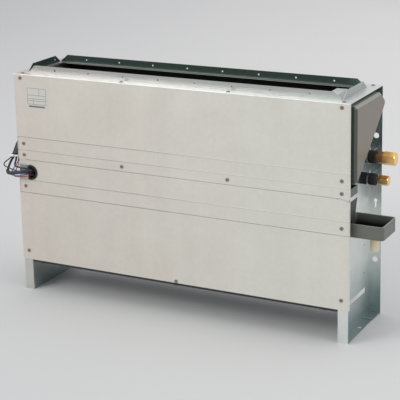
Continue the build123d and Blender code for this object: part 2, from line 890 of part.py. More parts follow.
def coil_hairpins():
    """Tubes bent double at the left, one pair for each place along the coil."""
    end = coil_length / 2 + tube_stub
    hairpins = []
    for front, back in tube_places():
        tube = u_bend(-end, -1, front, back)
        for y, z in (front, back):
            tube += rod_x(tube_radius, -end, end, y, z)
        hairpins.append(tube)
    return group(*hairpins)


def coil_return_bends():
    end = coil_length / 2 + tube_stub
    places = tube_places()
    bends = []
    for index in range(tubes_per_row - 1):
        row = index % 2
        bends.append(u_bend(end, 1, places[index][row], places[index + 1][row]))
    return group(*bends)


def coil_end_plate(side):
    """A sheet on the end of the coil with flanges out to the side frame's web."""
    half = coil_length / 2
    grow = end_plate_margin
    plate = coil_block(half, half + end_plate_sheet, coil_height / 2 + grow, coil_thickness / 2 + grow)
    width = coil_thickness / 2 + grow
    for edge in (1, -1):
        y, z = on_coil(edge * (coil_height / 2 + grow - end_plate_sheet / 2), width / 2)
        flange = Box(web_inner - half, end_plate_sheet, width)
        plate += Pos((half + web_inner) / 2, y, z) * Rot(coil_lean, 0, 0) * flange
    for pair in tube_places():
        plate -= [rod_x(tube_radius, half - 1, half + 4, y, z) for y, z in pair]
    if side < 0:
        return mirror(plate, about=Plane.YZ)
    return plate


def left_coil_end_plate():
    return coil_end_plate(-1)


def right_coil_end_plate():
    return coil_end_plate(1)


# Pipes

def bent_pipe(points, radii, radius):
    path = FilletPolyline(*points, radius=radii)
    start = path @ 0
    section = Plane(origin=start, z_dir=path % 0) * Circle(radius)
    return sweep(section, path=path)


def gas_pipe():
    end = coil_length / 2 + tube_stub
    y, z = tube_places()[-1][1]
    x = web_inner - gas_pipe_radius - gas_bend_gap
    stop = foam_outer_x + neck_length + gas_hex_length * 0.5
    pipe = bent_pipe([(x, y, z), (x, y, gas_z), (x, pipe_y, gas_z), (stop, pipe_y, gas_z)],
                     [gas_upper_bend, gas_lower_bend], gas_pipe_radius)
    cap = Pos(x, y, z) * Cylinder(gas_pipe_radius, 2 * gas_pipe_radius)
    return pipe + cap + rod_x(tube_radius, end, x, y, z)


def liquid_pipe():
    end = coil_length / 2 + tube_stub
    y, z = tube_places()[0][1]
    x = web_inner - liquid_pipe_radius - liquid_bend_gap
    stop = foam_outer_x + neck_length + liquid_hex_length * 0.5
    route = [(end, y, z), (x, y, z), (x, pipe_y, z), (x, pipe_y, liquid_z), (stop, pipe_y, liquid_z)]
    return bent_pipe(route, [liquid_bend, liquid_bend, liquid_bend], liquid_pipe_radius)


def foam_sleeve(radius, bore, z):
    sleeve = rod_x(radius, web_inner, foam_outer_x, pipe_y, z)
    return sleeve - rod_x(bore, web_inner - 1, foam_outer_x + 1, pipe_y, z)


def gas_foam_sleeve():
    return foam_sleeve(foam_radius_gas, gas_pipe_radius, gas_z)


def liquid_foam_sleeve():
    return foam_sleeve(foam_radius_liquid, liquid_pipe_radius, liquid_z)


def pipe_clips():
    """A band round each foam sleeve, with a tail to the rear flange and a screw lug."""
    clips = []
    for radius, z in ((foam_radius_gas, gas_z), (foam_radius_liquid, liquid_z)):
        x0 = clip_x - clip_width / 2
        x1 = clip_x + clip_width / 2
        band = rod_x(radius + clip_sheet, x0, x1, pipe_y, z)
        tail = block(x0, x1, pipe_y + radius, rear_flange_face, z + radius / 2, z + radius / 2 + clip_sheet)
        foot = block(x0, x1, rear_flange_face - clip_sheet, rear_flange_face, z + radius / 2,
                     z + radius / 2 + clip_foot)
        lug = block(x0, x1, pipe_y - clip_lug_width / 2, pipe_y + clip_lug_width / 2, z + radius,
                    z + radius + clip_lug)
        clips.append(band + tail + foot + lug - rod_x(radius, x0 - 1, x1 + 1, pipe_y, z))
    return group(*clips)


def hexagon_x(flats, x0, x1, y, z):
    outline = RegularPolygon(flats / 2, 6, major_radius=False)
    return Pos(x0, y, z) * Rot(0, 90, 0) * extrude(outline, amount=x1 - x0)


def union(x0, hex_length, flats, bore, nut_length, z):
    """A flare union: a hexagon on the pipe, then the spigot that the nut closes."""
    x1 = x0 + hex_length
    spigot = flats / 2 - nut_wall
    body = hexagon_x(flats - 2, x0, x1, pipe_y, z) + rod_x(spigot, x0, x1 + nut_length * 0.6, pipe_y, z)
    stop = x0 + hex_length * 0.5
    return body - rod_x(bore, x0 - 1, stop, pipe_y, z) - rod_x(bore - 1, stop - 1, x1 + nut_length, pipe_y, z)


def gas_union():
    x0 = foam_outer_x + neck_length
    return union(x0, gas_hex_length, gas_nut_flats, gas_pipe_radius, gas_nut_length, gas_z)


def liquid_union():
    x0 = foam_outer_x + neck_length
    return union(x0, liquid_hex_length, liquid_nut_flats, liquid_pipe_radius, liquid_nut_length, liquid_z)


def flare_nut(x0, length, flats, z):
    """A hexagon nut with turned corners, closed at its outer end by a blanking bonnet."""
    x1 = x0 + length
    body = hexagon_x(flats, x0, x1, pipe_y, z)
    corner = flats / math.sqrt(3)
    turned = rod_x(corner, x0, x1, pipe_y, z)
    turned = chamfer(turned.edges().filter_by(GeomType.CIRCLE), corner - flats / 2)
    body &= turned
    inner = flats / 2 - nut_wall
    return body - rod_x(inner, x0 - 1, x1 - 4, pipe_y, z)


def gas_flare_nut():
    x0 = foam_outer_x + neck_length + gas_hex_length
    return flare_nut(x0, gas_nut_length, gas_nut_flats, gas_z)


def liquid_flare_nut():
    x0 = foam_outer_x + neck_length + liquid_hex_length
    return flare_nut(x0, liquid_nut_length, liquid_nut_flats, liquid_z)


# Drain pans

def pan_span():
    y0 = front_y + joggle + screw_length + panel_sheet
    return y0, y0 + pan_depth


def pan_spout_span(clearance):
    y0 = pan_span()[0]
    return y0 - clearance, y0 + pan_spout_depth + clearance


def main_drain_pan():
    """A long tray under the coil's lower edge that narrows and runs out through the right side."""
    y0, y1 = pan_span()
    z0 = pan_floor
    z1 = pan_floor + pan_rim
    x1 = web_inner - filter_gap
    x0 = -x1
    pan = block(x0, x1, y0, y1, z0, z1) - block(x0 + pan_wall, x1 - pan_wall, y0 + pan_wall, y1 - pan_wall,
                                                z0 + pan_wall, z1 + 1)
    s0, s1 = pan_spout_span(0)
    end = half_width - panel_hem_radius
    pan += block(x1 - pan_wall, end, s0, s1, z0, z1)
    pan -= block(x1 - 2 * pan_wall, end - pan_wall, s0 + pan_wall, s1 - pan_wall, z0 + pan_wall, z1 + 1)
    return pan


def main_pan_foam():
    """The foam bed that the main pan lies in, showing as a pale edge at the right."""
    s0, s1 = pan_spout_span(0)
    z0 = pan_floor - pan_foam
    x1 = web_inner - filter_gap
    bed = block(-x1, x1, *pan_span(), z0, pan_floor)
    return bed + block(x1, half_width - panel_hem_radius, s0, s1, z0, pan_floor)


def drain_spout():
    """The tapered chute that drops from the main pan into the outer tray."""
    s0, s1 = pan_spout_span(0)
    z0 = pan_floor - pan_foam
    low = tray_rim_z - spout_dip
    front = front_y + tray_front + tray_wall + tray_rim_lip + 1
    points = [(s0, z0), (s1, z0), (s1 - spout_step, z0 - spout_brow), (front + spout_toe, low), (front, low),
              (front, tray_rim_z + 3), (s0, z0 - 2 * spout_brow)]
    x0 = web_outer + tray_corner / 2
    x1 = half_width - panel_hem_radius
    bore = block(x0 + pan_wall, x1 - pan_wall, front + pan_wall, front + spout_toe - 2 * pan_wall, low - 1,
                 z0 - spout_brow)
    return prism_x(points, x0, x1) - bore


def outer_tray():
    """The pan beside the casing that catches drips from the pipe joints."""
    x0 = web_outer
    x1 = half_width + tray_reach
    y0 = front_y + tray_front
    z0 = tray_rim_z - tray_height
    centre = Pos((x0 + x1) / 2, y0 + tray_depth / 2)
    outer = centre * RectangleRounded(x1 - x0, tray_depth, tray_corner)
    inner = centre * RectangleRounded(x1 - x0 - 2 * tray_wall, tray_depth - 2 * tray_wall,
                                      tray_corner - tray_wall)
    rim = centre * RectangleRounded(x1 - x0 - 2 * tray_rim_lip, tray_depth - 2 * tray_rim_lip,
                                    tray_corner - tray_rim_lip)
    tray = extrude(Plane.XY.offset(z0) * outer, amount=tray_height)
    tray -= extrude(Plane.XY.offset(z0 + tray_wall) * inner, amount=tray_height)
    ledge = extrude(Plane.XY.offset(tray_rim_z - tray_rim_lip) * (outer - rim), amount=tray_rim_lip)
    tray += ledge
    return tray - rod_z(socket_bore, tray_socket_x(), tray_socket_y(), z0 - 1, z0 + tray_wall + 1)


def tray_socket_x():
    return half_width + tray_reach / 2 + 2


def tray_socket_y():
    return front_y + tray_front + tray_depth / 2 - 3


def drain_socket():
    z1 = tray_rim_z - tray_height
    socket = rod_z(socket_radius, tray_socket_x(), tray_socket_y(), z1 - socket_length, z1)
    socket -= rod_z(socket_bore, tray_socket_x(), tray_socket_y(), z1 - socket_length - 1, z1 + 1)
    return socket


# Cover over the right side, and the label plate

def cover_points():
    """The cover's outline as seen from the right, as y and z."""
    y0 = front_y + cover_front
    z1 = casing_height - cover_top_gap
    rear = rear_flange_face - cover_rear_gap
    return [(y0, cover_bottom), (rear - cover_knee_setback, z1 - cover_knee_drop),
            (rear, z1 - cover_rear_low),
            (rear, z1 - cover_rear_high), (rear - cover_rear_cut, z1), (y0, z1)]


def end_cover():
    """The moulded cover: a rounded outline, a bevel all round its face, and hollow behind."""
    bevel_start = cover_outer - cover_bevel
    outline = fillet(face_x(cover_points(), web_outer).vertices(), cover_corner)
    outer = extrude(outline, amount=bevel_start - web_outer)
    outer += extrude(Pos(bevel_start - web_outer, 0, 0) * outline, amount=cover_bevel, taper=45)
    inside = offset(outline, amount=-(cover_bevel + cover_wall), kind=Kind.INTERSECTION)
    return outer - extrude(inside, amount=cover_outer - web_outer - cover_wall)


def cover_clips():
    """A small clip that pinches the cover's sloping edge to the web."""
    low, knee = (Vector(0, *point) for point in cover_points()[:2])
    along = (knee - low).normalized()
    below = along.cross(Vector(1, 0, 0)).normalized() * (cover_clip_sheet / 2)
    place = low + along * cover_clip_distance + below
    slope = math.degrees(math.atan2(along.Z, along.Y))
    arm = Box(cover_outer - web_outer, cover_clip_width, cover_clip_sheet)
    return Pos((web_outer + cover_outer) / 2, place.Y, place.Z) * Rot(slope, 0, 0) * arm


def label_plate():
    """A blank foil plate on the upper panel."""
    x0 = -half_width + label_inset
    z1 = casing_height - label_drop
    plate = block(x0, x0 + label_width, front_y - label_sheet, front_y, z1 - label_height, z1)
    return fillet(plate.edges().filter_by(Axis.Y), label_corner)


# Control box

def box_span():
    x0 = -coil_length / 2 - box_overhang
    y0 = flange_back + box_front_gap
    return x0, x0 + box_width, y0, y0 + box_depth


def box_floor():
    return deck_height + frame_sheet


def control_box():
    x0, x1, y0, y1 = box_span()
    z0 = box_floor()
    z1 = z0 + box_height
    tub = block(x0, x1, y0, y1, z0, z1)
    tub -= block(x0 + box_sheet, x1 - box_sheet, y0 - 1, y1 - box_sheet, z0 + box_sheet, z1 - box_sheet)
    return tub - rod_z(box_entry_radius, x0 + box_entry_inset, y0 + box_entry_inset, z1 - 5, z1 + 5)


def control_box_lid():
    x0, x1, y0, y1 = box_span()
    return block(x0, x1, y0 - box_sheet, y0, box_floor(), box_floor() + box_height)


def circuit_board():
    """The board on its standoffs, with a relay, a chip and a capacitor."""
    x1 = box_span()[1] - board_end_gap
    x0 = x1 - board_length
    y0 = box_span()[2] + (box_depth - board_width) / 2
    y1 = y0 + board_width
    z0 = box_floor() + box_sheet + standoff_height
    board = block(x0, x1, y0, y1, z0, z0 + board_sheet)
    for x in (x0 + standoff_inset, x1 - standoff_inset):
        for y in (y0 + standoff_inset, y1 - standoff_inset):
            board += rod_z(standoff_radius, x, y, z0 - standoff_height, z0)
    row_y = y0 + 2 * standoff_inset
    relay_x = x0 + standoff_inset
    chip_x = x1 - 2 * standoff_inset - chip_size
    board += block(relay_x, relay_x + relay_length, row_y, row_y + relay_width, z0, z0 + relay_height)
    board += block(chip_x, chip_x + chip_size, row_y, row_y + chip_size, z0, z0 + chip_height)
    board += rod_z(capacitor_radius, (x0 + x1) / 2, y1 - row_y + y0, z0, z0 + capacitor_height)
    return board


def terminal_block():
    """Screw terminals in a row with walls between them."""
    x0 = box_span()[0] + box_gap
    y0 = box_span()[2] + box_gap
    z0 = box_floor() + box_sheet
    base = block(x0, x0 + terminals * terminal_pitch, y0, y0 + terminal_depth, z0, z0 + terminal_height)
    for index in range(terminals):
        x = x0 + (terminal_pitch - terminal_slot) / 2 + index * terminal_pitch
        base -= block(x, x + terminal_slot, y0 - 1, y0 + terminal_depth + 1, z0 + terminal_base,
                      z0 + terminal_height + 1)
    return base


def transformer():
    """A laminated core through a rounded winding."""
    x = box_span()[0] + 2 * box_gap + core_length / 2
    y = box_span()[3] - box_sheet - box_gap - winding_width / 2
    z0 = box_floor() + box_sheet
    core = Pos(x, y, z0 + core_height / 2) * Box(core_length, core_width, core_height)
    winding = Pos(x, y, z0 + core_height / 2) * Box(winding_length, winding_width, winding_height)
    return core + fillet(winding.edges().filter_by(Axis.Z), box_gap / 2)


# Wiring exits and wires

def notch_bush():
    """Rubber edging round the closed end of the notch, gripping the panel's edge."""
    outer = notch_radius + bush_lip
    y0 = front_y - bush_reach
    y1 = flange_front + bush_reach
    ring = rod_y(outer, notch_x, y0, y1, notch_height)
    ring -= rod_y(notch_radius - bush_wall, notch_x, y0 - 1, y1 + 1, notch_height)
    groove = rod_y(outer + 1, notch_x, front_y, front_y + panel_sheet, notch_height)
    ring -= groove - rod_y(notch_radius, notch_x, front_y, front_y + panel_sheet, notch_height)
    return ring - block(notch_x - 2 * outer, notch_x - bush_open_side, y0 - 1, y1 + 1,
                        notch_height - outer - 1, notch_height + outer + 1)


def web_bush():
    """The bush where the wires go back in through the left-hand web."""
    x0 = -web_outer - bush_reach
    x1 = -web_inner + bush_reach
    lip_radius = web_bush_radius + bush_wall
    ring = rod_x(lip_radius, x0, -web_outer, web_bush_y, web_bush_z)
    ring += rod_x(web_bush_radius, -web_outer, -web_inner, web_bush_y, web_bush_z)
    ring += rod_x(lip_radius, -web_inner, x1, web_bush_y, web_bush_z)
    return ring - rod_x(web_bush_radius - bush_wall, x0 - 1, x1 + 1, web_bush_y, web_bush_z)


def wire_bushes():
    return group(notch_bush(), web_bush())


def from_corner(point):
    """A place given for the nominal casing, carried along with its front left-hand notch."""
    return Vector(*point) + Vector(-half_width, front_y, notch_height) - Vector(*routes_drawn_from)


def wire(name, points, radius):
    """A round wire along straight runs joined by arcs as large as the runs allow."""
    corners = [from_corner(point) for point in points]
    radii = []
    for before, here, after in zip(corners, corners[1:], corners[2:]):
        shorter = min((here - before).length, (after - here).length)
        turn = math.radians((here - before).get_angle(after - here))
        radii.append(0.45 * shorter / math.tan(turn / 2))
    path = FilletPolyline(*corners, radius=radii)
    section = Plane(origin=path @ 0, z_dir=path % 0) * Circle(radius)
    tube = sweep(section, path=path)
    ratio = tube.volume / (math.pi * radius ** 2 * path.length)
    print(name, "length", round(path.length), "radii", [round(value) for value in radii],
          "volume ratio", round(ratio, 4))
    return tube


# Routes of the wires, drawn from the casing's front left-hand edge at the height of the notch
routes_drawn_from = (-465, -110, 328)
tie_place = (-483, -92.5, 364)
black_cable_radius = 3.0
teal_lead_radius = 2.5
thin_wire_radius = 1.4
loop_lead_radius = 1.5
black_cable_route = [(-422, -96, 334), (-422.5, -112, 334), (-430, -125, 334), (-445, -132, 332),
                     (-463, -133, 329), (-480, -130, 325), (-494, -120, 324), (-500, -108, 331),
                     (-498, -100.5, 344), (-490, -98.5, 358), (-480, -95, 372), (-476, -94, 388),
                     (-471, -90, 403), (-460, -81, 419), (-447, -70, 430), (-431, -65, 434.5)]

teal_lead_route = [(-429, -96, 338), (-429.5, -111, 338), (-437, -121, 340.5), (-453, -123, 342.5),
                   (-468, -119, 342), (-478, -109, 343), (-482, -97, 349), (-484.5, -88.5, 361),
                   (-483, -88, 378), (-477, -85, 401), (-462, -74.5, 423), (-447, -64, 435),
                   (-431, -58.5, 439)]

loop_lead_route = [(-415, -96, 320.3), (-415, -111, 320.3), (-424, -119.5, 327), (-441, -123, 329),
                   (-459, -123, 331), (-477, -122, 334), (-495, -119, 337), (-509, -113, 338),
                   (-516, -103, 342), (-509, -94, 350), (-496, -93, 359), (-490.5, -94, 370),
                   (-484, -94.5, 384), (-478, -90.5, 403), (-463, -80.5, 424.5), (-447, -69.5, 437),
                   (-431, -64.5, 441)]

blue_wire_route = [(-425, -96, 327), (-425.5, -110, 326.5), (-433, -121, 324.5), (-448, -127, 322.5),
                   (-464, -127, 321), (-479, -121, 319), (-487, -110, 323), (-487, -97, 333),
                   (-480, -88, 346), (-479, -88.5, 361), (-475.5, -88.5, 380), (-469.5, -84.5, 402),
                   (-458, -74.5, 418.5), (-446, -63.5, 428), (-431, -58.5, 432.5)]

red_wire_route = [(-427, -96, 319), (-427.5, -109, 318.5), (-435, -118, 317.5), (-449, -122, 315),
                  (-465, -121, 312), (-477, -113, 313.5), (-481, -102, 322), (-479, -93, 335),
                  (-475, -91, 349), (-473.5, -91.5, 364), (-472.5, -91, 381), (-466.5, -87.5, 402),
                  (-456, -78, 416.5), (-446, -67, 424), (-431, -61.5, 429.5)]


def black_cable():
    return wire("black cable", black_cable_route, black_cable_radius)


def teal_lead():
    return wire("teal lead", teal_lead_route, teal_lead_radius)


def loop_lead():
    return wire("loop lead", loop_lead_route, loop_lead_radius)


def blue_wire():
    return wire("blue wire", blue_wire_route, thin_wire_radius)


def red_wire():
    return wire("red wire", red_wire_route, thin_wire_radius)


def cable_tie():
    """A strap drawn round the wires, with its locking head and cut tail."""
    centre = from_corner(tie_place)
    outer = SlotOverall(tie_length + 2 * tie_sheet, tie_width + 2 * tie_sheet)
    band = extrude(Pos(centre) * (outer - SlotOverall(tie_length, tie_width)), amount=tie_height)
    y = centre.Y - tie_width / 2 - tie_sheet / 2
    z = centre.Z + tie_height / 2
    x = centre.X - tie_head_length
    head = block(x, centre.X, y - tie_head_depth, y, z - tie_head_height / 2, z + tie_head_height / 2)
    tail_y = y - tie_head_depth / 2
    tail = block(x - tie_tail_length, x, tail_y, tail_y + tie_tail_sheet, z - tie_tail_height / 2,
                 z + tie_tail_height / 2)
    return band + head + tail


nodes = {
    "left_side_frame": left_side_frame,
    "right_side_frame": right_side_frame,
    "foot_stiffeners": foot_stiffeners,
    "top_plate": top_plate,
    "duct_collar": duct_collar,
    "upper_front_panel": upper_front_panel,
    "middle_front_panel": middle_front_panel,
    "lower_front_panel": lower_front_panel,
    "front_stay": front_stay,
    "rear_panel": rear_panel,
    "fan_deck": fan_deck,
    "intake_frame": intake_frame,
    "panel_screws": panel_screws,
    "top_screws": top_screws,
    "filter_frame": filter_frame,
    "filter_net": filter_net,
    "filter_pull_tabs": filter_pull_tabs,
    "left_fan_scroll": left_fan_scroll,
    "right_fan_scroll": right_fan_scroll,
    "left_fan_wheel": left_fan_wheel,
    "right_fan_wheel": right_fan_wheel,
    "fan_shaft": fan_shaft,
    "motor_body": motor_body,
    "motor_bearings": motor_bearings,
    "motor_rubber_rings": motor_rubber_rings,
    "motor_bracket": motor_bracket,
    "coil_fins": coil_fins,
    "coil_hairpins": coil_hairpins,
    "coil_return_bends": coil_return_bends,
    "left_coil_end_plate": left_coil_end_plate,
    "right_coil_end_plate": right_coil_end_plate,
    "gas_pipe": gas_pipe,
    "liquid_pipe": liquid_pipe,
    "gas_foam_sleeve": gas_foam_sleeve,
    "liquid_foam_sleeve": liquid_foam_sleeve,
    "pipe_clips": pipe_clips,
    "gas_union": gas_union,
    "liquid_union": liquid_union,
    "gas_flare_nut": gas_flare_nut,
    "liquid_flare_nut": liquid_flare_nut,
    "main_drain_pan": main_drain_pan,
    "main_pan_foam": main_pan_foam,
    "drain_spout": drain_spout,
    "outer_tray": outer_tray,
    "drain_socket": drain_socket,
    "end_cover": end_cover,
    "cover_clips": cover_clips,
    "label_plate": label_plate,
    "control_box": control_box,
    "control_box_lid": control_box_lid,
    "circuit_board": circuit_board,
    "terminal_block": terminal_block,
    "transformer": transformer,
    "wire_bushes": wire_bushes,
    "black_cable": black_cable,
    "teal_lead": teal_lead,
    "loop_lead": loop_lead,
    "blue_wire": blue_wire,
    "red_wire": red_wire,
    "cable_tie": cable_tie,
}

os.makedirs("parts", exist_ok=True)
for name, build in nodes.items():
    export_step(build(), f"parts/{name}.step")
    print(name)
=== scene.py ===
import json
import math

import bmesh
import bpy
from mathutils import Matrix, Vector


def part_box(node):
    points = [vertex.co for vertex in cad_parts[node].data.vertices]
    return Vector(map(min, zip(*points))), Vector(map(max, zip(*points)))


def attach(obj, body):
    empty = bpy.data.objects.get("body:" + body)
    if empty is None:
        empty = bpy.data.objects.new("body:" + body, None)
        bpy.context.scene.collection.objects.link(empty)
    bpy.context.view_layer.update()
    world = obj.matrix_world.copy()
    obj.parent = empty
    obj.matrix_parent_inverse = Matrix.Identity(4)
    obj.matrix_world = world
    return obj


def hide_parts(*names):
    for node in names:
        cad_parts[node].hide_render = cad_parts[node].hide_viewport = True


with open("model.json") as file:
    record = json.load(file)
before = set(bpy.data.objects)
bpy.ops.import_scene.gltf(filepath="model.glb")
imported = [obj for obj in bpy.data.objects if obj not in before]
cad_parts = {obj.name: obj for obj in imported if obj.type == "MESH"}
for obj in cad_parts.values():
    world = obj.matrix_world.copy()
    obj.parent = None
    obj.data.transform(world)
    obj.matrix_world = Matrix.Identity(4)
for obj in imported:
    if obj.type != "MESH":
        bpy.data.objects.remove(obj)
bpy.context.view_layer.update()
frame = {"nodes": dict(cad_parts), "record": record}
cadNodes = frame["nodes"]
collection = bpy.context.scene.collection
print("frame loaded with", len(cadNodes), "nodes")


# Node helpers

# A socket that can be used in sums
class Value:

    def __init__(self, shader, socket):
        self.shader = shader
        self.socket = socket

    def combine(self, operation, *terms):
        return self.shader.add("ShaderNodeMath", dict(enumerate(terms)), operation=operation).out("Value")

    def __abs__(self):
        return self.combine("ABSOLUTE", self)

    def __add__(self, other):
        return self.combine("ADD", self, other)

    def __radd__(self, other):
        return self.combine("ADD", other, self)

    def __sub__(self, other):
        return self.combine("SUBTRACT", self, other)

    def __rsub__(self, other):
        return self.combine("SUBTRACT", other, self)

    def __mul__(self, other):
        return self.combine("MULTIPLY", self, other)

    def __rmul__(self, other):
        return self.combine("MULTIPLY", other, self)

    def __gt__(self, other):
        return self.combine("GREATER_THAN", self, other)

    def __lt__(self, other):
        return self.combine("LESS_THAN", self, other)


# A node just added, for its outputs
class Added:

    def __init__(self, shader, node):
        self.shader = shader
        self.node = node

    def out(self, name):
        return Value(self.shader, self.node.outputs[name])


# A material, built up node by node
class Shader:

    def __init__(self, name):
        self.material = bpy.data.materials.new(name)
        self.material.use_nodes = True
        self.tree = self.material.node_tree
        self.tree.nodes.clear()

    def add(self, kind, inputs=None, **settings):
        node = self.tree.nodes.new(kind)
        for name, value in settings.items():
            setattr(node, name, value)
        for name, value in (inputs or {}).items():
            socket = node.inputs[name]
            if isinstance(value, Value):
                self.tree.links.new(value.socket, socket)
            elif socket.type == "RGBA":
                socket.default_value = (*value, 1.0)
            else:
                socket.default_value = value
        return Added(self, node)

    def coords(self, stretch=(1, 1, 1)):
        place = self.add("ShaderNodeTexCoord").out("Object")
        return self.add("ShaderNodeMapping", {"Vector": place, "Scale": stretch}).out("Vector")

    # One axis of the place or the direction of the surface
    def axis(self, output, letter):
        whole = self.add("ShaderNodeTexCoord").out(output)
        return self.add("ShaderNodeSeparateXYZ", {"Vector": whole}).out(letter)

    def place(self, letter):
        return self.axis("Object", letter)

    def facing(self, letter):
        return self.axis("Normal", letter)

    def noise(self, scale, detail=3.0, roughness=0.5, stretch=(1, 1, 1)):
        return self.add("ShaderNodeTexNoise", {"Vector": self.coords(stretch), "Scale": scale,
                                               "Detail": detail, "Roughness": roughness}).out("Fac")

    # Noise that sways evenly about 0
    def sway(self, **settings):
        return self.noise(**settings) - 0.5

    def cells(self, scale, output):
        return self.add("ShaderNodeTexVoronoi", {"Vector": self.coords(), "Scale": scale}).out(output)

    def stripes(self, scale, direction):
        return self.add("ShaderNodeTexWave", {"Vector": self.coords(), "Scale": scale},
                        bands_direction=direction).out("Fac")

    def spread(self, value, low, high, toLow=0.0, toHigh=1.0):
        return self.add("ShaderNodeMapRange", {"Value": value, "From Min": low, "From Max": high,
                                               "To Min": toLow, "To Max": toHigh}).out("Result")

    def mixColour(self, factor, first, second, mode="MIX"):
        return self.add("ShaderNodeMix", {0: factor, 6: first, 7: second}, data_type="RGBA",
                        blend_type=mode).out(2)

    # The colour made lighter or darker by a level that varies about 1
    def shade(self, colour, level):
        parts = {"Red": level, "Green": level, "Blue": level}
        grey = self.add("ShaderNodeCombineColor", parts).out("Color")
        return self.mixColour(1.0, colour, grey, "MULTIPLY")

    def bump(self, height, distance, strength=1.0, below=None):
        inputs = {"Height": height, "Distance": distance, "Strength": strength}
        if below is not None:
            inputs["Normal"] = below
        return self.add("ShaderNodeBump", inputs).out("Normal")

    def surface(self, **inputs):
        names = {name.replace("_", " "): value for name, value in inputs.items()}
        finish = self.add("ShaderNodeBsdfPrincipled", names).out("BSDF")
        self.add("ShaderNodeOutputMaterial", {"Surface": finish})
        return self.material


# Finishes

# Zinc-coated sheet turns from one colour to a cooler one toward the right-hand end
panelSteel = {"colour": (0.660, 0.608, 0.550), "cool": (0.735, 0.724, 0.660), "band": 0.11, "streak": 0.03,
              "patch": 0.05, "roughness": 0.44, "metallic": 0.50, "waviness": 0.0020}
frameSteel = {"colour": (0.62, 0.61, 0.58), "cool": (0.80, 0.835, 0.815), "band": 0.05, "streak": 0.03,
              "patch": 0.06, "roughness": 0.32, "metallic": 0.88, "waviness": 0.0010,
              "darkReflection": (0.26, 0.35, 0.35), "upperReflection": 0.0}
rightFrameSteel = {**frameSteel, "upperReflection": 0.8}
rearSteel = {**frameSteel, "lining": (0.030, 0.034, 0.032)}  # painted shade on its inner face
plateSteel = {"colour": (0.70, 0.68, 0.66), "cool": (0.78, 0.81, 0.79), "band": 0.02, "streak": 0.02,
              "patch": 0.05, "roughness": 0.32, "metallic": 0.70, "waviness": 0.0020}
# The collar's inner colour is painted shade on its inward faces
collarSteel = {"colour": (0.455, 0.445, 0.43), "cool": (0.48, 0.49, 0.475), "band": 0.02, "streak": 0.02,
               "patch": 0.06, "roughness": 0.34, "metallic": 0.70, "waviness": 0.0020,
               "inner": (0.070, 0.105, 0.092)}

# What the rolling mill leaves on every sheet, and soft vertical bands of painted reflection
rolledNoise = {
    "streaks": {"scale": 6.0, "detail": 4.0, "roughness": 0.6, "stretch": (3, 90, 420)},
    "bands": {"scale": 16.0, "detail": 3.0, "roughness": 0.6, "stretch": (1, 1, 0.06)},
    "patches": {"scale": 9.0, "detail": 4.0, "roughness": 0.6},
    "waves": {"scale": 2.6, "detail": 1.0, "roughness": 0.4, "stretch": (1, 2, 2.4)},
}
rolledLook = {"spangleScale": 130.0, "spangle": 0.03, "coolFrom": -0.45, "coolTo": 0.35, "coolRagged": 0.5,
              "patchGloss": 0.10, "streakGloss": 0.06, "streakDepth": 0.00001, "streakBump": 0.5}

# Painted shade in thin dark lines where the front sheets are folded or meet, each with a painted highlight
# just above it; the shade is stronger on the left and the highlight on the right. The two rises are the
# folds' heights above the stay's top and above the middle panel's foot.
foldLook = {"width": 0.0011, "brightWidth": 0.0012, "core": 0.4, "brightFrom": -0.10, "brightTo": 0.12,
            "dark": (0.24, 0.23, 0.215), "bright": (0.85, 0.87, 0.84), "darkLeft": 0.95, "darkLoss": 0.50,
            "brightLeft": 0.25, "brightGain": 0.60, "bandRise": 0.0359, "jogRise": 0.0350,
            "bandWeight": 1.0, "stripWeight": 0.55, "seamWeight": 0.25, "jogWeight": 1.0, "lowWeight": 0.35}

# Painted dark reflections at the foot of a web and behind the pipes, all behind the front flange
paintedReflectionLook = {"from": 0.02, "to": 0.17, "share": 0.7, "upperFrom": 0.315, "upperTo": 0.40, "ragged": 0.12,
             "flangeBack": -0.108, "webFront": -0.100}

towardAxis = 0.5  # a face whose normal leans on an axis by more than this looks along it


# 1 on the faces that look toward the middle of the object, seen from above
def innerSide(shader, low, high):
    inward = 0
    for letter, middle in (("X", (low.x + high.x) / 2), ("Y", (low.y + high.y) / 2)):
        lean = shader.facing(letter)
        inward = inward + (abs(lean) > towardAxis) * ((shader.place(letter) - middle) * lean < 0)
    return shader.spread(inward, 0.0, 1.0)


# The height and weight of each fold and meeting edge across the front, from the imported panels
def frontFolds():
    seam, strip = (corner.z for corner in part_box("front_stay"))
    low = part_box("middle_front_panel")[0].z
    return [(strip + foldLook["bandRise"], foldLook["bandWeight"]), (strip, foldLook["stripWeight"]),
            (seam, foldLook["seamWeight"]), (low + foldLook["jogRise"], foldLook["jogWeight"]),
            (low, foldLook["lowWeight"])]


def foldLines(shader, folds, width, rise=0.0):
    height = shader.place("Z")
    lines = 0
    for level, weight in folds:
        away = abs(height - (level + rise))
        lines = lines + shader.spread(away, width * foldLook["core"], width, weight, 0.0)
    return lines


# Paints shade along each fold and a highlight just above it
def paintFoldShadeAndHighlight(shader, colour, folds):
    toRight = shader.spread(shader.place("X"), foldLook["brightFrom"], foldLook["brightTo"])
    dark = foldLines(shader, folds, foldLook["width"])
    bright = foldLines(shader, folds, foldLook["brightWidth"], foldLook["width"])
    darkShare = dark * (foldLook["darkLeft"] - toRight * foldLook["darkLoss"])
    brightShare = bright * (foldLook["brightLeft"] + toRight * foldLook["brightGain"])
    colour = shader.mixColour(darkShare, colour, foldLook["dark"])
    return shader.mixColour(brightShare, colour, foldLook["bright"])


# Paints a dark teal reflection into webs and flanges behind the front flange, low down and, on the right
# frame, high up
def paintDarkReflection(shader, colour, look, patch):
    height = shader.place("Z") + patch * paintedReflectionLook["ragged"]
    low = shader.spread(height, paintedReflectionLook["from"], paintedReflectionLook["to"], paintedReflectionLook["share"], 0.0)
    upper = shader.spread(height, paintedReflectionLook["upperFrom"], paintedReflectionLook["upperTo"], 0.0, look["upperReflection"])
    behind = shader.spread(shader.place("Y"), paintedReflectionLook["flangeBack"], paintedReflectionLook["webFront"])
    notBackward = shader.facing("Y") < towardAxis
    return shader.mixColour((low + upper) * behind * notBackward, colour, look["darkReflection"])


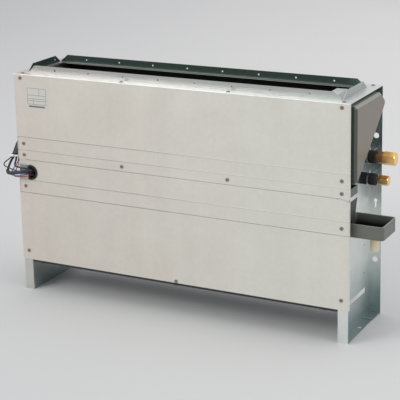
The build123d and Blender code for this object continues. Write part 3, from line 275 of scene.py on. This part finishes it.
def sheetSteel(name, look, folds=()):
    shader = Shader(name)
    streak, band, patch, wave = (shader.sway(**settings) for settings in rolledNoise.values())
    spangle = shader.cells(rolledLook["spangleScale"], "Color")
    grain = shader.add("ShaderNodeSeparateColor", {"Color": spangle}).out("Red") - 0.5
    across = shader.spread(shader.place("X") + patch * rolledLook["coolRagged"], rolledLook["coolFrom"],
                           rolledLook["coolTo"])
    colour = shader.mixColour(across, look["colour"], look["cool"])
    # The reflection bands are painted reflection; streaks, patches and spangle are the sheet's own tone
    colour = shader.shade(colour, 1.0 + streak * look["streak"] + patch * look["patch"]
                          + grain * rolledLook["spangle"] + band * look["band"])
    if folds:
        colour = paintFoldShadeAndHighlight(shader, colour, folds)
    # Painted shade: faces looking toward the middle of the collar are coloured dark teal
    if "inner" in look:
        low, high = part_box("duct_collar")
        colour = shader.mixColour(innerSide(shader, low, high), colour, look["inner"])
    if "darkReflection" in look:
        colour = paintDarkReflection(shader, colour, look, patch)
    # Painted shade: the rear panel's faces that look to the front are coloured near black
    if "lining" in look:
        colour = shader.mixColour(shader.facing("Y") < -towardAxis, colour, look["lining"])
    roughness = look["roughness"] + patch * rolledLook["patchGloss"] + streak * rolledLook["streakGloss"]
    wavy = shader.bump(wave, look["waviness"])
    normal = shader.bump(streak, rolledLook["streakDepth"], rolledLook["streakBump"], wavy)
    return shader.surface(Base_Color=colour, Metallic=look["metallic"], Roughness=roughness, Normal=normal)


# Marks of handling on plastic and enamel, which change both the colour and the gloss
handling = {"noise": {"scale": 24.0, "detail": 5.0, "roughness": 0.65}, "gloss": 0.16, "textureDetail": 2.0}


def markedSurface(shader, colour, marks, variation, roughness, texture, scale, metallic=0.0):
    fine = shader.noise(scale, handling["textureDetail"])
    return shader.surface(Base_Color=shader.shade(colour, 1.0 + marks * variation), Metallic=metallic,
                          Roughness=roughness + marks * handling["gloss"],
                          Normal=shader.bump(fine, texture))


# Moulded plastic or enamel: texture is its depth, scale its fineness
def moulding(name, colour, roughness, texture=0.00004, scale=900.0, metallic=0.0, variation=0.08):
    shader = Shader(name)
    marks = shader.sway(**handling["noise"])
    return markedSurface(shader, colour, marks, variation, roughness, texture, scale, metallic)


# The cover: a warm grey flat face, greyer at its foot, with a painted highlight on its bevels and painted
# shade on its front side
coverLook = {"face": (0.215, 0.186, 0.160), "bevel": (0.30, 0.30, 0.265), "front": (0.075, 0.085, 0.072),
             "low": (0.165, 0.165, 0.145), "lowFrom": 0.40, "lowTo": 0.47, "lowRagged": 0.03, "flat": 0.95,
             "variation": 0.08, "roughness": 0.44, "texture": 0.00005, "scale": 700.0}


def coverMoulding(name):
    shader = Shader(name)
    marks = shader.sway(**handling["noise"])
    down = shader.spread(shader.place("Z") + marks * coverLook["lowRagged"], coverLook["lowFrom"],
                         coverLook["lowTo"], 1.0, 0.0)
    colour = shader.mixColour(down, coverLook["face"], coverLook["low"])
    # Painted highlight on the bevels, then painted shade on the front-facing side
    colour = shader.mixColour(shader.facing("X") < coverLook["flat"], colour, coverLook["bevel"])
    colour = shader.mixColour(shader.facing("Y") < -towardAxis, colour, coverLook["front"])
    return markedSurface(shader, colour, marks, coverLook["variation"], coverLook["roughness"],
                         coverLook["texture"], coverLook["scale"])


# The tray is painted black inside at the bottom as painted shade, growing grey toward its rim, grey outside,
# and its up-facing rim is painted pale as a painted highlight
trayLook = {"outside": (0.130, 0.136, 0.118), "inside": (0.010, 0.011, 0.010), "rim": (0.30, 0.31, 0.29),
            "upper": (0.230, 0.245, 0.212), "rimDepth": 0.0015, "shadeDrop": 0.024, "rimTilt": 0.3,
            "variation": 0.15, "roughness": 0.36, "texture": 0.00005, "scale": 420.0}


def trayEnamel(name):
    shader = Shader(name)
    low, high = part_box("outer_tray")
    rimHeight = high.z - trayLook["rimDepth"]
    marks = shader.sway(**handling["noise"])
    height = shader.place("Z")
    up = shader.facing("Z")
    floor = (up > towardAxis) * (height < rimHeight)
    # Painted shade inside the tray, deepest at its floor
    outOfShade = shader.spread(height, rimHeight - trayLook["shadeDrop"], rimHeight)
    inside = shader.mixColour(outOfShade, trayLook["inside"], trayLook["upper"])
    inner = shader.spread(innerSide(shader, low, high) + floor, 0.0, 1.0)
    colour = shader.mixColour(inner, trayLook["outside"], inside)
    # Painted highlight on the up-facing rim
    rim = (up > trayLook["rimTilt"]) * (height > rimHeight)
    colour = shader.mixColour(rim, colour, trayLook["rim"])
    return markedSurface(shader, colour, marks, trayLook["variation"], trayLook["roughness"],
                         trayLook["texture"], trayLook["scale"])


# Closed-cell foam or rubber: matt, pitted and dusty in patches
foamLook = {"dust": (0.10, 0.10, 0.095), "dustNoise": {"scale": 60.0, "detail": 5.0, "roughness": 0.7},
            "dustFrom": 0.45, "dustTo": 0.75, "dustShare": 0.35, "pitScale": 1500.0, "pitDepth": 0.0003,
            "pitBump": 0.7, "roughness": 0.86}


def foamRubber(name, colour):
    shader = Shader(name)
    pits = shader.cells(foamLook["pitScale"], "Distance")
    dust = shader.spread(shader.noise(**foamLook["dustNoise"]), foamLook["dustFrom"], foamLook["dustTo"])
    mixed = shader.mixColour(dust * foamLook["dustShare"], colour, foamLook["dust"])
    return shader.surface(Base_Color=mixed, Roughness=foamLook["roughness"],
                          Normal=shader.bump(pits, foamLook["pitDepth"], foamLook["pitBump"]))


# Brass, copper or steel off the lathe: rings round its axis, darker where it is handled
turnedLook = {"ringNoise": {"scale": 10.0, "detail": 3.0, "roughness": 0.6}, "ringAround": 3,
              "ringDepth": 0.00003,
              "stainNoise": {"scale": 55.0, "detail": 4.0, "roughness": 0.6}, "stainFrom": 0.42,
              "stainTo": 0.75, "stainGloss": 0.12}


def turnedMetal(name, colour, stained, roughness, ringScale, stainShare=0.5, metallic=1.0):
    shader = Shader(name)
    around = turnedLook["ringAround"]
    rings = shader.noise(**turnedLook["ringNoise"], stretch=(ringScale, around, around))
    stain = shader.spread(shader.noise(**turnedLook["stainNoise"]), turnedLook["stainFrom"],
                          turnedLook["stainTo"])
    mixed = shader.mixColour(stain * stainShare, colour, stained)
    return shader.surface(Base_Color=mixed, Metallic=metallic,
                          Roughness=roughness + stain * turnedLook["stainGloss"],
                          Normal=shader.bump(rings, turnedLook["ringDepth"]))


# Plated screws: dull and dark, with a reddish passivate on those at the casing's corners
screwLook = {"plain": (0.27, 0.26, 0.24), "red": (0.34, 0.22, 0.19), "highest": 0.55, "lowest": 0.13,
             "outside": 0.40, "marks": {"scale": 300.0, "detail": 3.0, "roughness": 0.6}, "darkest": 0.8,
             "markShare": 0.4, "metallic": 0.85, "roughness": 0.34, "markGloss": 0.1}


def screwPlating(name):
    shader = Shader(name)
    height = shader.place("Z")
    ends = (height > screwLook["highest"]) + (height < screwLook["lowest"])
    corner = ends * (abs(shader.place("X")) > screwLook["outside"])
    marks = shader.noise(**screwLook["marks"])
    colour = shader.mixColour(corner, screwLook["plain"], screwLook["red"])
    colour = shader.shade(colour, screwLook["darkest"] + marks * screwLook["markShare"])
    return shader.surface(Base_Color=colour, Metallic=screwLook["metallic"],
                          Roughness=screwLook["roughness"] + marks * screwLook["markGloss"])


# The coil's edge-on fins, drawn as fine dark gaps between the slots of the solid: painted shade between the
# fins
finLook = {"fin": (0.55, 0.56, 0.56), "gap": (0.10, 0.105, 0.105), "scale": 150.0, "gapShare": 0.75,
           "patches": {"scale": 30.0, "detail": 4.0}, "metallic": 0.7, "roughness": 0.42, "patchGloss": 0.15,
           "depth": 0.0006, "bump": 0.7}


def finStock(name):
    shader = Shader(name)
    gaps = shader.stripes(finLook["scale"], "X")
    mixed = shader.mixColour(gaps * finLook["gapShare"], finLook["fin"], finLook["gap"])
    roughness = finLook["roughness"] + shader.noise(**finLook["patches"]) * finLook["patchGloss"]
    return shader.surface(Base_Color=mixed, Metallic=finLook["metallic"], Roughness=roughness,
                          Normal=shader.bump(gaps, finLook["depth"], finLook["bump"]))


# Woven filter net: two crossing sets of threads
netLook = {"hole": (0.012, 0.012, 0.012), "thread": (0.07, 0.07, 0.07), "scale": 260.0, "roughness": 0.8,
           "depth": 0.0004}


def netCloth(name):
    shader = Shader(name)
    weave = shader.stripes(netLook["scale"], "X") * shader.stripes(netLook["scale"], "Y")
    mixed = shader.mixColour(weave, netLook["hole"], netLook["thread"])
    return shader.surface(Base_Color=mixed, Roughness=netLook["roughness"],
                          Normal=shader.bump(weave, netLook["depth"]))


# A blank foil label: a thin frame, ruled rows, two boxes and a dark bar, with nothing written.
# The line's width is in metres. Places are shares of the label's width and height, and a
# column also has the heights that it runs between.
labelLook = {"foil": (0.625, 0.605, 0.565), "ink": (0.16, 0.165, 0.16), "bar": (0.11, 0.115, 0.11),
             "line": 0.0012, "left": 0.06, "right": 0.94, "rows": (0.16, 0.30, 0.38, 0.52, 0.80),
             "columns": ((0.06, 0.16, 0.80), (0.93, 0.16, 0.80), (0.62, 0.52, 0.80), (0.34, 0.16, 0.38)),
             "barLow": 0.045, "barHigh": 0.115, "barLeft": 0.12, "barRight": 0.88, "inkShare": 0.8,
             "barShare": 0.85, "grain": {"scale": 60.0, "stretch": (1, 1, 40)}, "grainDepth": 0.00002,
             "metallic": 0.35, "roughness": 0.38, "grainGloss": 0.1}


def between(value, start, end):
    return (value > start) * (value < end)


def labelFoil(name):
    shader = Shader(name)
    look = labelLook
    low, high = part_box("label_plate")
    width = high.x - low.x
    tall = high.z - low.z
    across = (shader.place("X") - low.x) * (1 / width)
    up = (shader.place("Z") - low.z) * (1 / tall)
    ink = 0
    for row in look["rows"]:
        line = between(up, row, row + look["line"] / tall)
        ink = ink + line * between(across, look["left"], look["right"])
    for column, start, end in look["columns"]:
        ink = ink + between(across, column, column + look["line"] / width) * between(up, start, end)
    bar = between(up, look["barLow"], look["barHigh"]) * between(across, look["barLeft"], look["barRight"])
    grain = shader.noise(**look["grain"])
    colour = shader.mixColour(shader.spread(ink, 0.0, 1.0) * look["inkShare"], look["foil"], look["ink"])
    colour = shader.mixColour(bar * look["barShare"], colour, look["bar"])
    return shader.surface(Base_Color=colour, Metallic=look["metallic"],
                          Roughness=look["roughness"] + grain * look["grainGloss"],
                          Normal=shader.bump(grain, look["grainDepth"]))


# The smooth skin of wire sheaths, sleeves and nylon
fineGrain = {"texture": 0.00003, "scale": 500.0}

# One finish for each material slot of the part
finishes = {
    "front_sheet": sheetSteel("frontSheet", panelSteel, frontFolds()),
    "galvanised_sheet": sheetSteel("galvanisedSheet", frameSteel),
    "collar_sheet": sheetSteel("collarSheet", collarSteel),
    "plated_screws": screwPlating("platedScrew"),
    "pipe_clip_steel": turnedMetal("clipSteel", (0.62, 0.63, 0.63), (0.40, 0.40, 0.40), roughness=0.26,
                                   ringScale=30),
    "cover_moulding": coverMoulding("coverMoulding"),
    "black_clip": moulding("blackMoulding", (0.022, 0.022, 0.022), roughness=0.42),
    "filter_mesh": netCloth("filterNet"),
    "wheel_moulding": moulding("wheelMoulding", (0.045, 0.048, 0.052), roughness=0.45),
    "steel_shaft": turnedMetal("groundShaft", (0.62, 0.62, 0.63), (0.42, 0.41, 0.40), roughness=0.22,
                               ringScale=300),
    "motor_enamel": moulding("motorEnamel", (0.03, 0.03, 0.032), roughness=0.38, scale=500.0, metallic=0.1),
    "black_rubber": foamRubber("bushRubber", (0.012, 0.012, 0.012)),
    "coil_aluminium": finStock("finStock"),
    "copper": turnedMetal("drawnCopper", (0.75, 0.40, 0.26), (0.34, 0.17, 0.11), roughness=0.30,
                          ringScale=6),
    "pipe_foam": foamRubber("pipeFoam", (0.010, 0.011, 0.011)),
    "brass_fittings": turnedMetal("turnedBrass", (1.0, 0.60, 0.21), (0.82, 0.38, 0.11), roughness=0.17,
                                  ringScale=120, stainShare=0.30, metallic=0.74),
    "pan_enamel": moulding("panEnamel", (0.10, 0.105, 0.09), roughness=0.36, texture=0.00005, scale=420.0,
                           metallic=0.15),
    "pan_foam": foamRubber("paleFoam", (0.72, 0.70, 0.65)),
    "spout_moulding": moulding("spoutMoulding", (0.035, 0.038, 0.035), roughness=0.5),
    "socket_moulding": moulding("socketMoulding", (0.74, 0.64, 0.46), roughness=0.38, texture=0.00003,
                                scale=600.0),
    "label_foil": labelFoil("labelFoil"),
    "board_laminate": moulding("boardLaminate", (0.02, 0.10, 0.03), roughness=0.35),
    "transformer_steel": moulding("transformerVarnish", (0.035, 0.03, 0.028), roughness=0.4),
    "black_sheath": moulding("blackSheath", (0.012, 0.012, 0.013), roughness=0.38, **fineGrain),
    "teal_sheath": moulding("tealSheath", (0.012, 0.055, 0.057), roughness=0.36, **fineGrain),
    "blue_sheath": moulding("blueSheath", (0.10, 0.11, 0.40), roughness=0.34, **fineGrain),
    "red_sheath": moulding("redSheath", (0.50, 0.04, 0.04), roughness=0.34, **fineGrain),
    "tie_nylon": moulding("tieNylon", (0.80, 0.80, 0.76), roughness=0.36, **fineGrain),
}
slotOf = {row["node"]: row["material_slot"] for row in frame["record"]["subparts"]}
for name, node in cadNodes.items():
    node.data.materials.clear()
    node.data.materials.append(finishes[slotOf[name]])

# Nodes whose look differs from the rest of their material slot
unionBrass = turnedMetal("threadedBrass", (0.66, 0.33, 0.15), (0.30, 0.13, 0.06), roughness=0.26,
                         ringScale=220, stainShare=0.7)
ownFinishes = {
    "top_plate": sheetSteel("topSheet", plateSteel),
    "right_side_frame": sheetSteel("rightFrameSheet", rightFrameSteel),
    "rear_panel": sheetSteel("rearSheet", rearSteel),
    "outer_tray": trayEnamel("trayEnamel"),
    "gas_union": unionBrass,
    "liquid_union": unionBrass,
}
for name, finish in ownFinishes.items():
    cadNodes[name].data.materials[0] = finish
print("finishes on", len(cadNodes), "nodes")


# Wires, in metres, on the routes of the part's source, with blue and red drawn closer to black

wires = {
    "black_cable": {"radius": 0.0030, "length": 0.253, "stiffness": "stiff", "route": [
        (-0.422, -0.096, 0.334), (-0.4225, -0.112, 0.334), (-0.430, -0.125, 0.334),
        (-0.445, -0.132, 0.332), (-0.463, -0.133, 0.329), (-0.480, -0.130, 0.325),
        (-0.494, -0.120, 0.324), (-0.500, -0.108, 0.331), (-0.498, -0.1005, 0.344),
        (-0.490, -0.0985, 0.358), (-0.480, -0.095, 0.372), (-0.476, -0.094, 0.388),
        (-0.471, -0.090, 0.403), (-0.460, -0.081, 0.419), (-0.447, -0.070, 0.430),
        (-0.431, -0.065, 0.4345)]},
    "teal_lead": {"radius": 0.0025, "length": 0.208, "stiffness": "medium", "route": [
        (-0.429, -0.096, 0.338), (-0.4295, -0.111, 0.338), (-0.437, -0.121, 0.3405),
        (-0.453, -0.123, 0.3425), (-0.468, -0.119, 0.342), (-0.478, -0.109, 0.343),
        (-0.482, -0.097, 0.349), (-0.4845, -0.0885, 0.361), (-0.483, -0.088, 0.378),
        (-0.477, -0.085, 0.401), (-0.462, -0.0745, 0.423), (-0.447, -0.064, 0.435),
        (-0.431, -0.0585, 0.439)]},
    "loop_lead": {"radius": 0.0015, "length": 0.271, "stiffness": "medium", "route": [
        (-0.415, -0.096, 0.3203), (-0.415, -0.111, 0.3203), (-0.424, -0.1195, 0.327),
        (-0.441, -0.123, 0.329), (-0.459, -0.123, 0.331), (-0.477, -0.122, 0.334),
        (-0.495, -0.119, 0.337), (-0.509, -0.113, 0.338), (-0.516, -0.103, 0.342),
        (-0.509, -0.094, 0.350), (-0.496, -0.093, 0.359), (-0.4905, -0.094, 0.370),
        (-0.484, -0.0945, 0.384), (-0.478, -0.0905, 0.403), (-0.463, -0.0805, 0.4245),
        (-0.447, -0.0695, 0.437), (-0.431, -0.0645, 0.441)]},
    "blue_wire": {"radius": 0.0014, "length": 0.236, "stiffness": "medium", "route": [
        (-0.425, -0.096, 0.327), (-0.4255, -0.110, 0.3265), (-0.433, -0.123, 0.3245),
        (-0.448, -0.132, 0.3225), (-0.464, -0.133, 0.3215), (-0.479, -0.126, 0.3195),
        (-0.487, -0.112, 0.323), (-0.487, -0.097, 0.333), (-0.480, -0.088, 0.346),
        (-0.479, -0.0885, 0.361), (-0.4755, -0.0885, 0.380), (-0.4695, -0.0845, 0.402),
        (-0.458, -0.0745, 0.4185), (-0.446, -0.0635, 0.428), (-0.431, -0.0585, 0.4325)]},
    "red_wire": {"radius": 0.0014, "length": 0.220, "stiffness": "medium", "route": [
        (-0.427, -0.096, 0.319), (-0.4275, -0.109, 0.3185), (-0.435, -0.119, 0.3185),
        (-0.449, -0.125, 0.3175), (-0.465, -0.1255, 0.3155), (-0.477, -0.117, 0.316),
        (-0.481, -0.103, 0.323), (-0.479, -0.093, 0.335), (-0.475, -0.091, 0.349),
        (-0.4735, -0.0915, 0.364), (-0.4725, -0.091, 0.381), (-0.4665, -0.0875, 0.402),
        (-0.456, -0.078, 0.4165), (-0.446, -0.067, 0.424), (-0.431, -0.0615, 0.4295)]},
}
wireMesh = {"roundSteps": 5, "lengthSteps": 10}


def drawWire(node, look):
    curve = bpy.data.curves.new(node + "Line", "CURVE")
    curve.dimensions = "3D"
    curve.bevel_depth = look["radius"]
    curve.bevel_resolution = wireMesh["roundSteps"]
    curve.resolution_u = wireMesh["lengthSteps"]
    curve.use_fill_caps = True
    spline = curve.splines.new("NURBS")
    spline.points.add(len(look["route"]) - 1)
    for point, place in zip(spline.points, look["route"]):
        point.co = (*place, 1.0)
    spline.order_u = 3
    spline.use_endpoint_u = True
    curve.materials.append(finishes[slotOf[node]])
    wire = bpy.data.objects.new(node + "_line", curve)
    collection.objects.link(wire)
    return wire


# The points of a wire's own smooth line
def lineOf(wire):
    bare = wire.data.copy()
    bare.bevel_depth = 0
    holder = bpy.data.objects.new("bareLine", bare)
    mesh = bpy.data.meshes.new_from_object(holder)
    points = [vertex.co.copy() for vertex in mesh.vertices]
    bpy.data.objects.remove(holder)
    bpy.data.meshes.remove(mesh)
    bpy.data.curves.remove(bare)
    return points


# A hollow tube on the wires, from rings of points along its outside and its inside
tubeLook = {"colour": (0.020, 0.021, 0.021), "roughness": 0.5}


def addTube(name, outer, inner, smooth=False):
    bm = bmesh.new()
    rings = [[bm.verts.new(place) for place in ring] for ring in outer + inner[::-1]]
    for near, far in zip(rings, rings[1:] + rings[:1]):
        for index in range(len(near)):
            after = (index + 1) % len(near)
            face = bm.faces.new((near[index], near[after], far[after], far[index]))
            face.smooth = smooth
    bmesh.ops.recalc_face_normals(bm, faces=bm.faces)
    mesh = bpy.data.meshes.new(name)
    bm.to_mesh(mesh)
    bm.free()
    mesh.materials.append(moulding(name + "Rubber", tubeLook["colour"], tubeLook["roughness"], **fineGrain))
    piece = bpy.data.objects.new(name, mesh)
    collection.objects.link(piece)
    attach(piece, "casing")
    return piece


# A ribbed rubber sleeve holds the wires together between the tie and the bush in the web
sleeveLook = {"low": 0.3712, "high": 0.4235, "ribPitch": 0.0018, "ribHeight": 0.0003, "wall": 0.0007,
              "around": 28, "squareness": 0.75, "lean": 1.15}


# Where a line crosses a height, on its last way up
def crossing(points, height):
    for first, second in reversed(list(zip(points, points[1:]))):
        if first.z <= height <= second.z:
            return first.lerp(second, (height - first.z) / (second.z - first.z))
    raise ValueError("no crossing at this height")


# A level ring that goes round all the lines; lean makes room for the slope at which they pass it
def sleeveRing(lines, height, grow):
    spans = []
    for axis in (0, 1):
        reach = [(crossing(points, height)[axis], radius * sleeveLook["lean"]) for points, radius in lines]
        low = min(place - radius for place, radius in reach)
        high = max(place + radius for place, radius in reach)
        spans.append(((low + high) / 2, (high - low) / 2 + grow))
    (x, halfX), (y, halfY) = spans
    ring = []
    for step in range(sleeveLook["around"]):
        turn = 2 * math.pi * step / sleeveLook["around"]
        wide, deep = (math.copysign(abs(part) ** sleeveLook["squareness"], part)
                      for part in (math.cos(turn), math.sin(turn)))
        ring.append(Vector((x + halfX * wide, y + halfY * deep, height)))
    return ring


def addSleeve(lines):
    steps = 2 * round((sleeveLook["high"] - sleeveLook["low"]) / sleeveLook["ribPitch"])
    rise = (sleeveLook["high"] - sleeveLook["low"]) / steps
    heights = [sleeveLook["low"] + rise * step for step in range(steps + 1)]
    outer = [sleeveRing(lines, height, sleeveLook["wall"] + sleeveLook["ribHeight"] * (step % 2))
             for step, height in enumerate(heights)]
    inner = [sleeveRing(lines, height, 0.0) for height in heights]
    return addTube("wire_sleeve", outer, inner)


# A loose soft sheath over the black cable, from the bush in the front panel to just below the tie
sheathLook = {"radius": 0.0048, "wall": 0.0014, "start": 0.008, "end": 0.108, "step": 0.002, "around": 20,
              "crease": 0.0002, "creaseEvery": 3}


# Points at equal steps along a line, between two lengths from its start
def stepsAlong(points, start, end, step):
    places = []
    travelled = 0
    wanted = start
    for first, second in zip(points, points[1:]):
        run = (second - first).length
        while wanted <= min(end, travelled + run):
            places.append(first.lerp(second, (wanted - travelled) / run))
            wanted += step
        travelled += run
    return places


def addSheath(points):
    look = sheathLook
    places = stepsAlong(points, look["start"], look["end"], look["step"])
    turns = [2 * math.pi * step / look["around"] for step in range(look["around"])]
    side = Vector((0, 0, 1))
    outer, inner = [], []
    for index, place in enumerate(places):
        ahead = (places[min(index + 1, len(places) - 1)] - places[max(index - 1, 0)]).normalized()
        side = (side - ahead * side.dot(ahead)).normalized()
        other = ahead.cross(side)
        radius = look["radius"] - look["crease"] * (index % look["creaseEvery"] == 0)
        for rings, reach in ((outer, radius), (inner, look["radius"] - look["wall"])):
            rings.append([place + reach * (math.cos(turn) * side + math.sin(turn) * other)
                          for turn in turns])
    return addTube("cable_sheath", outer, inner, smooth=True)


def declareWire(wire, node):
    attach(wire, "casing")
    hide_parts(node)


laidWires = {node: drawWire(node, look) for node, look in wires.items()}
wireSleeve = addSleeve([(lineOf(laidWires[node]), look["radius"]) for node, look in wires.items()])
cableSheath = addSheath(lineOf(laidWires["black_cable"]))
for node, look in wires.items():
    declareWire(laidWires[node], node)
print("wires laid:", len(wires))


# Camera, at the photograph's angle

cameraLook = {"place": (1.531, -2.897, 1.287), "yaw": 27.537, "pitch": 13.770, "roll": -1.225,
              "lens": 120.16, "sensor": 36, "shiftDown": 0.2, "farClip": 100}


def addCamera(look):
    yaw, pitch, roll = (math.radians(look[name]) for name in ("yaw", "pitch", "roll"))
    ahead = Vector((-math.sin(yaw) * math.cos(pitch), math.cos(yaw) * math.cos(pitch), -math.sin(pitch)))
    level = Vector((math.cos(yaw), math.sin(yaw), 0))
    above = level.cross(ahead)
    right = math.cos(roll) * level + math.sin(roll) * above
    up = math.cos(roll) * above - math.sin(roll) * level
    camera = bpy.data.objects.new("viewCamera", bpy.data.cameras.new("viewCamera"))
    collection.objects.link(camera)
    turn = Matrix((right, up, -ahead)).transposed().to_4x4()
    camera.matrix_world = Matrix.Translation(look["place"]) @ turn
    camera.data.sensor_width = look["sensor"]
    camera.data.lens = look["lens"]
    camera.data.shift_y = -look["shiftDown"]
    camera.data.clip_end = look["farClip"]
    bpy.context.scene.camera = camera


addCamera(cameraLook)
print("camera set")


# Floor and soft light

# The floor is painted darker near the front and lighter toward the back, a painted light gradient, and
# sideLean turns that toward the right
floorLook = {"radius": 16.0, "sides": 96, "nearShade": (0.470, 0.475, 0.478),
             "farLight": (0.84, 0.82, 0.805), "near": -1.2, "far": 4.0, "sideLean": 0.6,
             "mottle": {"scale": 1.2, "detail": 2.0}, "mottleShare": 0.4, "roughness": 0.9}
lamps = {
    "frontLight": {"place": (-2.4, -3.2, 2.6), "target": (0, 0, 0.3), "size": (2.6, 1.8), "power": 100.0,
                   "colour": (1, 0.985, 0.96)},
    "rightLight": {"place": (3.8, -0.4, 1.6), "target": (0.2, 0, 0.3), "size": (1.6, 1.6), "power": 26.0,
                   "colour": (1, 1, 1)},
    "topLight": {"place": (0.2, 0.5, 4.5), "target": (0, 0, 0.3), "size": (8.0, 8.0), "power": 150.0,
                 "colour": (1, 1, 1)},
}
worldLook = {"colour": (0.93, 0.96, 1.0), "level": 0.55}


def addFloor(look):
    mesh = bpy.data.meshes.new("studioFloor")
    bm = bmesh.new()
    bmesh.ops.create_circle(bm, cap_ends=True, radius=look["radius"], segments=look["sides"])
    bm.to_mesh(mesh)
    bm.free()
    floor = bpy.data.objects.new("studioFloor", mesh)
    collection.objects.link(floor)
    shader = Shader("paperFloor")
    away = shader.place("Y") + shader.place("X") * look["sideLean"]
    ragged = away + shader.noise(**look["mottle"]) * look["mottleShare"]
    # Painted light: the floor's colour grades from darker near to lighter far
    mixed = shader.mixColour(shader.spread(ragged, look["near"], look["far"]), look["nearShade"],
                             look["farLight"])
    mesh.materials.append(shader.surface(Base_Color=mixed, Roughness=look["roughness"]))


def addLamp(name, look):
    lamp = bpy.data.objects.new(name, bpy.data.lights.new(name, "AREA"))
    lamp.data.shape = "RECTANGLE"
    lamp.data.size, lamp.data.size_y = look["size"]
    lamp.data.energy = look["power"]
    lamp.data.color = look["colour"]
    collection.objects.link(lamp)
    lamp.location = look["place"]
    lamp.rotation_mode = "QUATERNION"
    lamp.rotation_quaternion = (Vector(look["target"]) - Vector(look["place"])).to_track_quat("-Z", "Y")


def setWorld(look):
    world = bpy.data.worlds.new("studioWorld")
    world.use_nodes = True
    sky = world.node_tree.nodes["Background"]
    sky.inputs["Color"].default_value = (*look["colour"], 1)
    sky.inputs["Strength"].default_value = look["level"]
    bpy.context.scene.world = world


addFloor(floorLook)
for name, look in lamps.items():
    addLamp(name, look)
setWorld(worldLook)
bpy.context.scene.view_settings.view_transform = "Standard"
print("studio lit")
